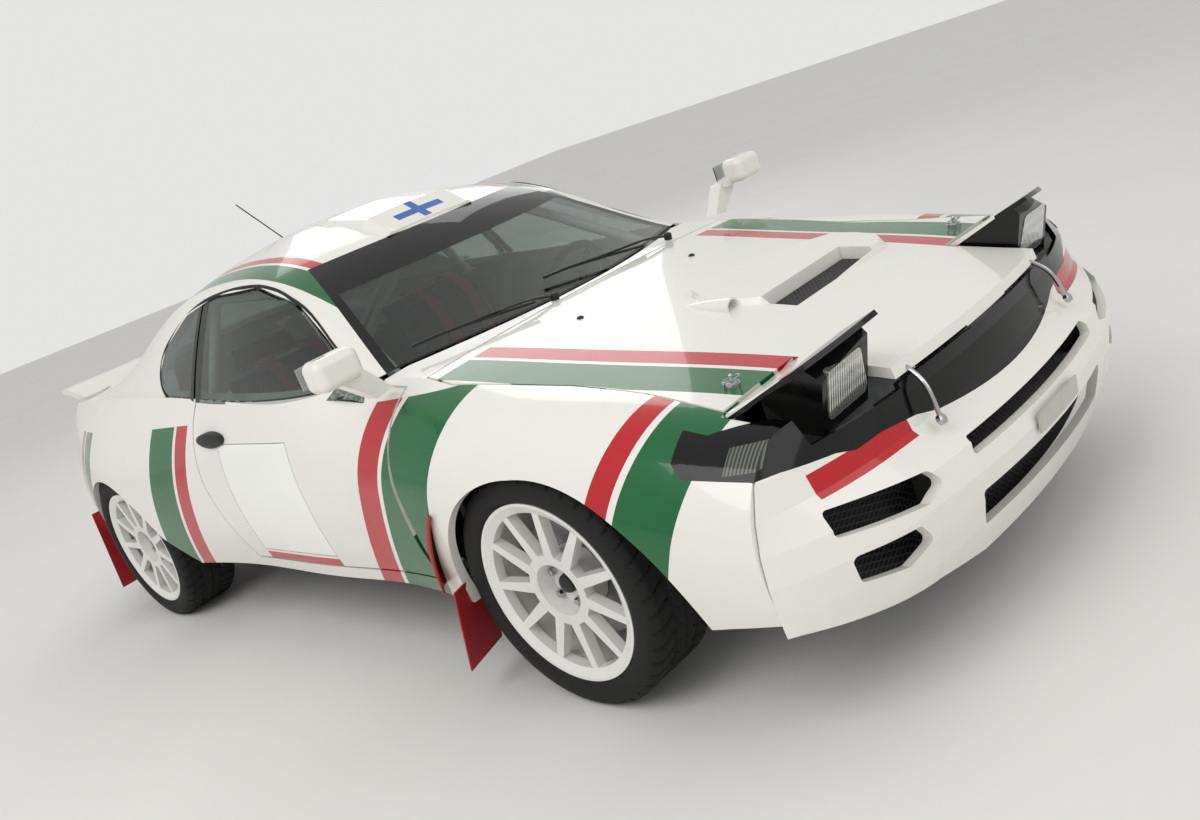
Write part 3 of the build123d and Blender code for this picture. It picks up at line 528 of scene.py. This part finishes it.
def corner_glass():
    """Smoked acrylic, moulded: nearly black, with a clear fluted lens at its front, drawn as stripes of
    painted highlight and shade.
    """
    material, tree, shader, place = blank("Smoked acrylic, moulded")
    x, _, z = axes(tree, place)
    clear = product(tree, within(tree, x, 1.890, 1.962), within(tree, z, 0.608, 0.648))
    # Painted highlight and shade: the clear lens's flutes are light and dark stripes in its colour
    painted_flute_light = spread(tree, ripple(tree, x, 0.008), -1.0, 1.0)
    bright = mixed(tree, painted_flute_light, linear("#2C2E2D"), linear("#74776F"))
    feed(tree, shader, {
        "Base Color": mixed(tree, clear, tuple(paint().black), bright),
        "Roughness": 0.10, "Specular IOR Level": 0.2, "Coat Weight": 0.4,
    })
    return material


def tail_lens():
    """Red acrylic, moulded over a reflector: deep, with flutes drawn as painted highlight and shade, and an
    amber band.
    """
    material, tree, shader, place = blank("Red acrylic, moulded")
    _, y, z = axes(tree, place)
    # Painted highlight and shade: the flutes are dark and bright red stripes in the lens's colour
    painted_flute_light = spread(tree, ripple(tree, y, 0.012), -1.0, 1.0)
    red = mixed(tree, painted_flute_light, linear("#5E0508"), linear("#B3141A"))
    feed(tree, shader, {
        "Base Color": mixed(tree, within(tree, z, 0.655, 0.690), red, linear("#C8691A")),
        "Roughness": 0.12, "Coat Weight": 1.0,
    })
    return material


def woven(name, colour, thread, rough=0.85):
    """Woven cloth: two crossed thread waves, drawn coarse enough to show, with sheen, and with painted shade
    and highlight on the threads in its colour.
    """
    material, tree, shader, place = blank(name)
    _, y, z = axes(tree, place)
    height = product(tree, ripple(tree, y, thread), ripple(tree, z, thread))
    # Painted shade and highlight: raised threads lighten the colour and sunken ones darken it
    shade = spread(tree, height, -1.0, 1.0, 0.75, 1.25)
    feed(tree, shader, {
        "Base Color": shaded(tree, tuple(colour), shade),
        "Roughness": rough, "Sheen Weight": 0.3, "Normal": relief(tree, height, 0.0006, 0.7),
    })
    return material


def wire_mesh(name):
    """Black expanded mesh: open diamonds drawn as near-black holes of painted shade between raised strands.
    """
    material, tree, shader, place = blank(name)
    x, y, z = axes(tree, place)
    up = calc(tree, "SUBTRACT", z, x)
    waves = [ripple(tree, calc(tree, how, y, up), sizes().mesh) for how in ("ADD", "SUBTRACT")]
    strand = spread(tree, calc(tree, "MAXIMUM", *waves), 0.45, 0.85)
    feed(tree, shader, {
        # Painted shade: the diamonds' holes are a near-black colour on a closed sheet, not open
        "Base Color": mixed(tree, strand, linear("#020202"), linear("#34363A")), "Roughness": 0.45,
        "Metallic": 0.4, "Normal": relief(tree, strand, 0.003, 0.9),
    })
    return material


def lamp_housing():
    """Gloss black moulding under the lamp's lid, whose outer skin is body enamel."""
    material, tree, shader, place = blank("Gloss moulding and enamelled lid")
    x, _, z = axes(tree, place)
    # The raised lid's skin lies above a line that climbs from its hinge at (1.842, 0.688)
    line = calc(tree, "MULTIPLY_ADD", x, 0.446, 0.688 - 0.8215 - 0.0075)
    above = calc(tree, "GREATER_THAN", z, line)
    lid = product(tree, above, calc(tree, "LESS_THAN", x, 1.978))
    feed(tree, shader, {
        "Base Color": mixed(tree, lid, tuple(paint().black), tuple(paint().white)),
        "Roughness": 0.18, "Specular IOR Level": 0.2, "Coat Weight": 0.4,
    })
    grain(tree, shader, place, 300.0, 0.0001, 0.15)
    return material


def dress(node, material):
    """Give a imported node's object one better material."""
    piece = NODES[node]
    piece.data.materials.clear()
    piece.data.materials.append(material)


def finish(name, colour, *numbers, **settings):
    """A plain finish made once and used again by name."""
    return bpy.data.materials.get(name) or plain(name, colour, *numbers, **settings)


def black_trim():
    """The moulded black of the small fittings."""
    return finish("ABS, moulded black", paint().trim, 0.5, scale=700.0)


def bright_steel():
    """The polished steel of the small fittings."""
    return finish("Stainless steel, polished", linear("#B9BBBD"), 0.2, 1.0, 400.0, 0.0001)


def dark_mirror():
    """The silvered glass of the mirrors."""
    glass = linear("#C9CFD2")
    return finish("Silvered glass, polished", glass, 0.04, 1.0, 60.0, 0.00005, strength=0.05, speck=0.01)


# ---------------------------------------------------------------- operators


class PaintBody(bpy.types.Operator):
    """Give every body panel its enamel and bars"""

    bl_idname = "rally_car.paint_body"
    bl_label = "Paint the body"

    def execute(self, context):
        side = enamel("Two-pack enamel, side panels", "side")
        doors = enamel("Two-pack enamel, doors", "door")
        lid = enamel("Two-pack enamel, bonnet", "bonnet")
        roof = enamel("Two-pack enamel, roof", "roof")
        white = enamel("Two-pack enamel, plain", "white")
        finishes = {
            "bonnet": lid, "bonnet_bulge": white, "roof_frame": roof, "hatch": roof, "tail_panel": white,
            "rear_bumper": white, "rear_wing": white,
            "front_bumper": enamel("Two-pack enamel, bumper", "bumper"),
            "roof_scoop": enamel("Two-pack enamel, scoop", "scoop"),
        }
        for hand in SIDES:
            finishes.update({f"fender_{hand}": side, f"body_side_{hand}": side, f"door_{hand}": doors})
            finishes[f"door_mirror_{hand}"] = white
        for node, material in finishes.items():
            dress(node, material)
        return {"FINISHED"}


class GlazeCar(bpy.types.Operator):
    """Give the windows, lamps and nose panel their glass and gloss"""

    bl_idname = "rally_car.glaze"
    bl_label = "Glaze the car"

    def execute(self, context):
        dress("windscreen", window_glass("Laminated glass, windscreen", linear("#C4CFC9"), "screen"))
        dress("quarter_glass", window_glass("Tempered glass, quarters", linear("#AEBAB5"), "quarter"))
        dress("hatch_glass", window_glass("Tempered glass, tailgate", linear("#A4B0AC"), "hatch"))
        doors = window_glass("Tempered glass, doors", linear("#AEBAB5"), "door")
        black = paint().black
        dress("nose_panel", plain(
            "Acrylic, moulded gloss black", black, 0.12, 0.0, 120.0, 0.00008,
            coat=0.4, strength=0.1, shine=0.2,
        ))
        dress("corner_lamps", corner_glass())
        dress("tail_lamps", tail_lens())
        lens, housing = fluted_lamp(), lamp_housing()
        for hand in SIDES:
            dress(f"door_glass_{hand}", doors)
            dress(f"lamp_pod_{hand}", housing)
            dress(f"lamp_lens_{hand}", lens)
        return {"FINISHED"}


class DressChassis(bpy.types.Operator):
    """Give the underside, axles, cabin and flaps their metals, cloth and rubber"""

    bl_idname = "rally_car.dress_chassis"
    bl_label = "Dress the chassis and cabin"

    def execute(self, context):
        under = plain("Bitumen underseal, sprayed", linear("#232323"), 0.85, 0.0, 160.0, 0.0012, strength=0.6)
        cast = plain("Cast iron, machined", linear("#6B6D70"), 0.42, 0.9, 220.0, 0.0004)
        plate = plain("Aluminium plate, rolled and scuffed", linear("#5A5B5C"), 0.62, 0.8, 90.0, 0.0008)
        pipe = plain("Steel tube, heat stained", linear("#7F756A"), 0.36, 1.0, 50.0, 0.0002, speck=0.25)
        tube = plain("Steel tube, enamelled white", linear("#E2E1DC"), 0.3, 0.0, 300.0, 0.0001, coat=0.5)
        fibre = plain("Glass fibre, moulded black", linear("#1C1D20"), 0.4, 0.0, 260.0, 0.0003)
        sheet = plain("Polyurethane sheet, cast red", paint().flap, 0.5, 0.0, 200.0, 0.0004)
        finishes = {
            "floor_pan": under, "sump_guard": plate, "exhaust": pipe, "roll_cage": tube, "seats": fibre,
            "mudflaps": sheet, "dashboard": black_trim(), "aerial": black_trim(),
            "steering_wheel": woven("Suede rim, brushed", linear("#1B1B1D"), 0.003, 0.95),
        }
        for node in ("front_axle", "rear_axle", "engine_block", "knuckle_left", "knuckle_right"):
            finishes[node] = cast
        for node, material in finishes.items():
            dress(node, material)
        return {"FINISHED"}


TYRE_STEPS = 440
# Section of a tyre from the bead to the tread's edge: distance from its middle, radius
SHOULDER = np.array([
    (0.1000, RIM_R), (0.1040, 0.2455), (0.1085, 0.2540), (0.1118, 0.2660), (TYRE_HALF, 0.2780),
    (0.1118, 0.2880), (0.1095, 0.2965), (0.1075, 0.3025), (0.1035, 0.3085), (0.0985, 0.3130),
    (0.0930, 0.3160), (0.0890, TYRE_R),
])
TREAD_LOW, TREAD_HALF = 0.300, 0.085


def tyre_form(x, way):
    """A tyre: its section turned about the axle, with the tread's radius cut in where grooves run.

    The section runs from bead to bead by (y, r). Round grooves lie at fixed y, and cross grooves where
    the turn plus a slant by y falls in a narrow part of each block; both take the groove's depth off r.
    """
    tread = np.linspace(TREAD_HALF, -TREAD_HALF, 35)
    y = np.concatenate([SHOULDER[:, 0], tread, -SHOULDER[::-1, 0]])
    r = np.concatenate([SHOULDER[:, 1], np.full(len(tread), TYRE_R), SHOULDER[::-1, 1]])
    yy, turn = np.meshgrid(y, np.arange(TYRE_STEPS) * 2 * pi / TYRE_STEPS)
    rr = np.broadcast_to(r, yy.shape).copy()
    off = np.abs(yy)
    phase = (turn * sizes().blocks / (2 * pi) + off * 9.0) % 1.0
    cross = (phase < 0.17) & (off > 0.022) & (off < 0.1062)
    round_groove = (np.abs(off - 0.040) < 0.0052) | (off < 0.0035)
    depth = np.where(round_groove, sizes().groove, np.where(cross, sizes().groove * 0.8, 0.0))
    rr -= np.where(rr > TREAD_LOW, depth, 0.0)
    points = surface(x + rr * np.cos(turn), way * TRACK_HALF + yy, HUB_Z + rr * np.sin(turn))
    return grid(points, wrap_u=True)


class MakeTyres(bpy.types.Operator):
    """Make the four treaded tyres and dress the rims"""

    bl_idname = "rally_car.make_tyres"
    bl_label = "Make the tyres"

    def execute(self, context):
        rubber = tyre_rubber()
        for end, x in AXLE_X.items():
            coat = wheel_enamel(f"Baked enamel on cast alloy, {end} wheels", x, HUB_Z)
            for hand, way in SIDES.items():
                dress(f"rim_{end}_{hand}", coat)
                wheel = f"wheel_{end}_{hand}"
                tyre = build(f"treaded_tyre_{end}_{hand}", [tyre_form(x, way)], wheel, rubber, 50.0)
                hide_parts(f"tyre_{end}_{hand}")
        return {"FINISHED"}


NUTS, NUT_CIRCLE = 5, 0.050


class MakeWheelFittings(bpy.types.Operator):
    """Make each wheel's five nuts and hub cap"""

    bl_idname = "rally_car.make_wheel_fittings"
    bl_label = "Make the wheel fittings"

    def execute(self, context):
        nut = [(-0.002, 0.0105), (0.012, 0.0105), (0.017, 0.0085), (0.0175, 0.004)]
        cap = [(-0.004, 0.0250), (0.010, 0.0250), (0.016, 0.0225), (0.019, 0.016), (0.020, 0.004)]
        for end, x in AXLE_X.items():
            for hand, way in SIDES.items():
                wheel, y, out = f"wheel_{end}_{hand}", way * HUB_FACE, (0, way, 0)
                nuts = []
                for k in range(NUTS):
                    a = 2 * pi * k / NUTS
                    centre = (x + NUT_CIRCLE * np.cos(a), y, HUB_Z + NUT_CIRCLE * np.sin(a))
                    nuts.append(turned(nut, centre, out, 6))
                hub = turned(cap, (x, y, HUB_Z), out, 28)
                build(f"wheel_nuts_{end}_{hand}", nuts, wheel, bright_steel(), 25.0)
                build(f"hub_cap_{end}_{hand}", [hub], wheel, black_trim())
        return {"FINISHED"}


class MakeSeals(bpy.types.Operator):
    """Make the rubber round the side windows"""

    bl_idname = "rally_car.make_seals"
    bl_label = "Make the window rubbers"

    def execute(self, context):
        rubber = plain("EPDM rubber, extruded", paint().trim, 0.6, scale=500.0)
        section = ring(sizes().seal, 10, 0.55)
        x, z = np.array(SIDE_WINDOW + SIDE_WINDOW[:1]).T
        path = round_path(surface(x, 0.0, z), 6)[:-1]
        for hand, way in SIDES.items():
            run = path.copy()
            run[:, 1] = way * (cabin_side(run[:, 0], run[:, 2]) + 0.0015)
            seal = carried(run, section, up=(0, way, 0.35), loop=True)
            build(f"window_rubber_{hand}", [seal], "root", rubber)
        return {"FINISHED"}


class MakeGrilles(bpy.types.Operator):
    """Make the mesh behind the bumper's openings and in the bonnet's vent"""

    bl_idname = "rally_car.make_grilles"
    bl_label = "Make the grilles"

    def execute(self, context):
        mesh = wire_mesh("Steel mesh, expanded and blacked")
        # Behind the bumper: x falls back by the square of y, and faster past the bend
        bend = 0.475
        y, z = np.meshgrid(np.linspace(-0.715, 0.715, 61), np.linspace(0.240, 0.500, 9), indexing="ij")
        x = 2.118 - 0.064 * (y / bend) ** 2 - np.clip(np.abs(y) - bend, 0, 1) * 0.55
        behind = shell(surface(x, y, z), surface(x - 0.006, y, z))
        build("bumper_mesh", [behind], "root", mesh)
        # In the vent: 1 mm under the bonnet's slope
        x, y = np.meshgrid(np.linspace(1.584, 1.670, 8), np.linspace(-0.094, 0.279, 25), indexing="ij")
        z = 0.880 - 0.165 * (x - 0.700) - 0.001
        under = shell(surface(x, y, z), surface(x, y, z - 0.005))
        build("vent_mesh", [under], "bonnet", mesh)
        return {"FINISHED"}


class MakeBonnetFittings(bpy.types.Operator):
    """Make the bonnet's pins, washer nozzles, duct and hold-down rods"""

    bl_idname = "rally_car.make_bonnet_fittings"
    bl_label = "Make the bonnet fittings"

    def execute(self, context):
        steel, trim = bright_steel(), black_trim()
        slope = np.array((0.163, 0.0, 0.987))
        plate = [(0.0, 0.019), (0.0125, 0.019), (0.0145, 0.016), (0.015, 0.006)]
        pin = [(0.012, 0.005), (0.030, 0.005), (0.033, 0.003)]
        nozzle = [(0.0, 0.011), (0.006, 0.011), (0.011, 0.008), (0.013, 0.003)]
        foot = [(-0.005, 0.012), (0.006, 0.012), (0.008, 0.008)]
        a = np.linspace(0, 2 * pi, 25)[:-1]
        hoop = np.outer(np.cos(a), (0.0, 0.024, 0.0)) + np.outer(np.sin(a), (0.016, 0.0, 0.002))
        pins, nozzles, rods = [], [], []
        for way in SIDES.values():
            place = np.array((1.781, way * 0.543, 0.700))
            pins += [
                turned(plate, place, slope, 24), turned(pin, place, slope, 14),
                carried(place + slope * 0.0215 + hoop, ring(0.0019, 8), up=slope, loop=True),
            ]
            nozzles.append(turned(nozzle, (1.091, way * 0.257, 0.822), slope, 18))
            rod = [(2.040, way * 0.322, 0.651), (2.099, way * 0.338, 0.599), (2.124, way * 0.352, 0.520)]
            rods += [
                carried(round_path(rod, 8), ring(sizes().stay, 10), up=(0, 1, 0)),
                turned(foot, rod[-1], (0.9, 0, 0.44), 16),
            ]
        build("bonnet_pins", pins, "bonnet", steel)
        build("washer_nozzles", nozzles, "bonnet", trim)
        # Duct beside the dome: a turned cowl with an open, lipped mouth that faces forward
        ahead = (0.170, -0.004, -0.014)
        cowl = turned([
            (0.0, 0.004), (0.030, 0.014), (0.090, 0.022), (0.150, 0.025),
            (0.170, 0.026), (0.170, 0.021), (0.140, 0.018), (0.130, 0.004),
        ], (1.352, -0.142, 0.777), ahead, 26)
        build("bonnet_duct", [cowl], "bonnet", NODES["bonnet_bulge"].data.materials[0])
        throat = turned([(0.0, 0.0175), (0.004, 0.0175), (0.005, 0.003)], (1.483, -0.1451, 0.7662), ahead, 22)
        build("duct_throat", [throat], "bonnet", trim)
        build("hold_down_rods", rods, "root", steel)
        return {"FINISHED"}


class MakeWipers(bpy.types.Operator):
    """Make the two wipers parked along the windscreen's foot"""

    bl_idname = "rally_car.make_wipers"
    bl_label = "Make the wipers"

    def execute(self, context):
        blade_section = [(-0.003, -0.004), (0.003, -0.004), (0.005, 0.004), (-0.005, 0.004)]
        boss = [(-0.012, 0.013), (0.006, 0.013), (0.010, 0.008)]
        parts = []
        for pivot_y, tip in ((-0.130, (0.735, -0.560, 0.905)), (0.420, (0.795, -0.070, 0.921))):
            pivot, tip = np.array((0.880, pivot_y, 0.874)), np.array(tip)
            knee = np.array((0.838, pivot_y * 0.5 + tip[1] * 0.5, 0.905))
            arm = [pivot, pivot * 0.6 + knee * 0.4 + (0, 0, 0.008), knee]
            link = [knee * 0.55 + tip * 0.45 + (0.004, 0, 0.002), knee]
            start = knee + (knee - tip) * 0.55 + (0.006, 0, -0.016)
            blade = [start, knee * 0.5 + tip * 0.5 + (0.002, 0, 0.001), tip]
            parts += [
                carried(round_path(arm, 6), ring(0.0065, 8, 0.6)),
                carried(round_path(link, 6), ring(0.0045, 8, 0.7)),
                carried(round_path(blade, 10), blade_section),
                turned(boss, pivot, (0.2, 0, 0.98), 18),
            ]
        build("wipers", parts, "root", black_trim())
        return {"FINISHED"}


class MakeDoorFittings(bpy.types.Operator):
    """Make the door handles and the mirrors' glass"""

    bl_idname = "rally_car.make_door_fittings"
    bl_label = "Make the door fittings"

    def execute(self, context):
        # Handle: a flap bowed out of a dished plate by the sine of its length
        u, v = np.meshgrid(np.linspace(0, 1, 21), np.linspace(-1, 1, 9), indexing="ij")
        swell = np.sin(pi * u) ** 0.5
        x, y, z = -0.276 + 0.192 * u, 0.803 + 0.012 * swell * (1 - 0.7 * v**2), 0.770 + 0.026 * v * swell
        # Mirror glass: a slightly crowned plate on the housing's rear face
        u, v = square(13, 9)
        crown, height = 0.0012 * (1 - u**2), 0.968 + 0.030 * v * (1 - 0.05 * np.abs(u) ** 6)
        for hand, way in SIDES.items():
            flap = shell(surface(x, way * (y + 0.014), z), surface(x, way * (y - 0.012), z))
            build(f"door_handle_{hand}", [flap], f"door_{hand}", black_trim())
            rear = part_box(f"door_mirror_{hand}")[0][0] - crown
            across = way * 0.896 + 0.052 * u
            pane = shell(surface(rear, across, height), surface(rear + 0.004, across, height))
            build(f"mirror_glass_{hand}", [pane], f"door_{hand}", dark_mirror())
        return {"FINISHED"}


def cushion(foot, along, rise, half, centre, thick):
    """A stuffed pad: over (u, v) its face stands off its flat back by 14 mm + thick (1 - u^6)(1 - v^6).

    u runs from foot by along, v across the car by half, and the face stands off towards rise.
    Shallow pleats, as a cosine of v, are added to the face.
    """
    u, v = square(25, 21)
    foot, along, rise = (np.asarray(a, dtype=float) for a in (foot, along, rise))
    rise = rise / np.linalg.norm(rise)
    y = centre + v * half * (1 - 0.06 * np.abs(u) ** 8)
    back = foot + ((u + 1) / 2)[..., None] * along + surface(0.0, y, 0.0)
    pleats = 0.004 * np.cos(v * pi * 2.5) * (1 - v**2)
    stand = 0.014 + thick * (1 - np.abs(u) ** 6) * (1 - np.abs(v) ** 6) + pleats
    return shell(back + stand[..., None] * rise, back + 0.001 * rise)


class MakeCushions(bpy.types.Operator):
    """Make the base and back cushions of both seats"""

    bl_idname = "rally_car.make_cushions"
    bl_label = "Make the seat cushions"

    def execute(self, context):
        cloth = woven("Polyester cloth, woven", paint().cloth, 0.006)
        for hand, way in SIDES.items():
            y = way * SEAT_Y
            pads = {
                "base": cushion((-0.050, 0, 0.2737), (0.350, 0, 0.0248), (-0.07, 0, 1.0), 0.176, y, 0.036),
                "back": cushion((-0.178, 0, 0.408), (-0.128, 0, 0.444), (0.96, 0, 0.277), 0.172, y, 0.026),
            }
            for name, pad in pads.items():
                piece = build(f"cushion_{name}_{hand}", [pad], "root", cloth, 60.0)
        return {"FINISHED"}


# Straps as (x, distance from the seat's middle, z): a shoulder's from the seat back, a lap's from the buckle
SHOULDER_STRAP = np.array([
    (-0.402, 0.09375, 0.902), (-0.350, 0.09375, 0.908), (-0.292, 0.0900, 0.882), (-0.240, 0.0900, 0.830),
    (-0.200, 0.0825, 0.700), (-0.152, 0.0750, 0.540), (-0.112, 0.0600, 0.430), (-0.040, 0.0450, 0.352),
    (0.055, 0.0150, 0.346),
])
LAP_STRAP = np.array([(0.060, 0.012, 0.346), (0.010, 0.095, 0.350), (-0.070, 0.165, 0.372)])
STRAP_HALF_THICK = 0.0014


class MakeHarness(bpy.types.Operator):
    """Make each seat's harness straps and their buckle"""

    bl_idname = "rally_car.make_harness"
    bl_label = "Make the harness"

    def execute(self, context):
        webbing = woven("Polyester webbing, woven", paint().belt, 0.004, 0.7)
        half, thin = sizes().strap / 2, STRAP_HALF_THICK
        section = [(-half, -thin), (half, -thin), (half, thin), (-half, thin)]
        disc = [(-0.006, 0.034), (0.008, 0.034), (0.013, 0.028), (0.015, 0.010)]
        for hand, way in SIDES.items():
            y = way * SEAT_Y
            straps = []
            for strap, steps, up in ((SHOULDER_STRAP, 7, (0.8, 0, 0.6)), (LAP_STRAP, 6, (0.3, 0, 0.95))):
                for off in (-1, 1):
                    run = surface(strap[:, 0], y + off * strap[:, 1], strap[:, 2])
                    straps.append(carried(round_path(run, steps), section, up=up))
            build(f"harness_{hand}", straps, "root", webbing)
            buckle = turned(disc, (0.060, y, 0.350), (0.1, 0, 0.99), 26)
            build(f"harness_buckle_{hand}", [buckle], "root", bright_steel())
        return {"FINISHED"}


class MakeFlapStrips(bpy.types.Operator):
    """Make the upper strips of the front mudflaps, which climb the rear edge of each arch"""

    bl_idname = "rally_car.make_flap_strips"
    bl_label = "Make the flap strips"

    def execute(self, context):
        # The edge follows the arch's circle, and the width grows by the sine of the climb
        low, high = 0.322, 0.548
        z, v = np.meshgrid(np.linspace(low, high, 15), np.linspace(0, 1, 7), indexing="ij")
        lip = AXLE_X["front"] - np.sqrt(ARCH_R**2 - (z - HUB_Z) ** 2)
        x = lip - v * (0.058 + 0.022 * np.sin(pi * (z - low) / (high - low)))
        y = 0.8715 - 0.050 * v**1.5
        for hand, way in SIDES.items():
            strip = shell(surface(x, way * (y + 0.003), z), surface(x, way * (y - 0.003), z))
            build(f"flap_strip_{hand}", [strip], "root", NODES["mudflaps"].data.materials[0])
        return {"FINISHED"}


class MakePlates(bpy.types.Operator):
    """Make the blank front and rear plates"""

    bl_idname = "rally_car.make_plates"
    bl_label = "Make the plates"

    def execute(self, context):
        vinyl = plain("Vinyl on aluminium, pressed", linear("#B9B8B2"), 0.35, 0.0, 200.0, 0.0001, coat=0.4)
        u, v = square(15, 7)
        # Front: bowed by the square of u, with a height that falls by its tenth power towards each end
        rise = 0.024 * v * (1 - 0.10 * np.abs(u) ** 10)
        x, y, z = 2.2075 - 0.020 * (u * 0.23) ** 2 + rise * 0.10, 0.110 * u, 0.390 + rise
        front = shell(surface(x, y, z), surface(x - 0.005, y, z))
        build("front_plate", [front], "root", vinyl)
        # Rear: flat, against the bumper's rear face
        x, y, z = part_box("rear_bumper")[0][0], 0.260 * u, 0.520 + 0.055 * v
        rear = shell(surface(x - 0.004, y, z), surface(x + 0.003, y, z))
        build("rear_plate", [rear], "root", vinyl)
        return {"FINISHED"}


FLOOR_HALF = 30.0


class MakeStage(bpy.types.Operator):
    """Make the floor, lights, background and camera"""

    bl_idname = "rally_car.make_stage"
    bl_label = "Make the stage"

    def execute(self, context):
        scene = context.scene
        material, tree, shader, place = blank("Studio floor, matt painted")
        feed(tree, shader, {
            "Base Color": speckled(tree, place, tuple(paint().floor), 1.2, 0.015), "Roughness": 0.75,
        })
        u, v = square(3, 3)
        points, faces = grid(surface(FLOOR_HALF * u, FLOOR_HALF * v, 0.0), wrap_v=False, caps=False)
        mesh = bpy.data.meshes.new("studio_floor")
        mesh.from_pydata(points.tolist(), [], faces)
        mesh.materials.append(material)
        floor = bpy.data.objects.new("studio_floor", mesh)
        scene.collection.objects.link(floor)

        world = bpy.data.worlds.new("studio")
        scene.world = world
        world.use_nodes = True
        tree = world.node_tree
        path = add(tree, "ShaderNodeLightPath")
        seen = calc(tree, "MAXIMUM", path.outputs["Is Camera Ray"], path.outputs["Is Transmission Ray"])
        feed(tree, tree.nodes["Background"], {
            "Color": (*linear("#F2F2F0"), 1), "Strength": spread(tree, seen, 0.0, 1.0, 0.72, 0.88),
        })

        for name, place, turn, size, energy in (
            ("key", (1.5, -5.0, 5.5), (42, 0, 16), 4.5, 150),
            ("fill", (6.0, 1.0, 4.0), (60, 0, 100), 4.0, 50),
            ("back", (-4.5, 4.0, 4.5), (-50, 0, 45), 4.0, 60),
        ):
            lamp = bpy.data.lights.new(name, "AREA")
            lamp.size, lamp.energy = size, energy
            light = bpy.data.objects.new(name, lamp)
            light.location = place
            light.rotation_euler = [radians(a) for a in turn]
            scene.collection.objects.link(light)

        data = bpy.data.cameras.new("camera")
        data.lens, data.sensor_width = 32.673, 36.0
        camera = bpy.data.objects.new("camera", data)
        camera.matrix_world = Matrix((
            (0.68941, 0.04869, 0.72273, 3.2568), (0.64193, 0.42119, -0.64072, -2.2255),
            (-0.33561, 0.90566, 0.25912, 1.3516), (0, 0, 0, 1),
        ))
        scene.collection.objects.link(camera)
        scene.camera = camera
        scene.view_settings.view_transform = "Standard"
        return {"FINISHED"}


OPERATORS = (
    PaintBody, GlazeCar, DressChassis, MakeTyres, MakeWheelFittings, MakeSeals, MakeGrilles,
    MakeBonnetFittings, MakeWipers, MakeDoorFittings, MakeCushions, MakeHarness, MakeFlapStrips,
    MakePlates, MakeStage,
)


class RallyCarPanel(bpy.types.Panel):
    """Sizes, colours and steps of the rally car"""

    bl_idname = "VIEW3D_PT_rally_car"
    bl_label = "Rally car"
    bl_space_type = "VIEW_3D"
    bl_region_type = "UI"
    bl_category = "Rally car"

    def draw(self, context):
        layout = self.layout
        for group in (context.scene.rally_car_paint, context.scene.rally_car_sizes):
            box = layout.box()
            for key in group.__annotations__:
                box.prop(group, key)
        for operator in OPERATORS:
            layout.operator(operator.bl_idname)


CLASSES = (RallyCarPaint, RallyCarSizes, *OPERATORS, RallyCarPanel)


def register():
    for cls in CLASSES:
        bpy.utils.register_class(cls)
    bpy.types.Scene.rally_car_paint = PointerProperty(type=RallyCarPaint)
    bpy.types.Scene.rally_car_sizes = PointerProperty(type=RallyCarSizes)


def unregister():
    del bpy.types.Scene.rally_car_sizes
    del bpy.types.Scene.rally_car_paint
    for cls in reversed(CLASSES):
        bpy.utils.unregister_class(cls)


def main():
    """Register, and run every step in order."""
    register()
    for operator in OPERATORS:
        group, step = operator.bl_idname.split(".")
        getattr(getattr(bpy.ops, group), step)()


if __name__ == "__main__":
    main()
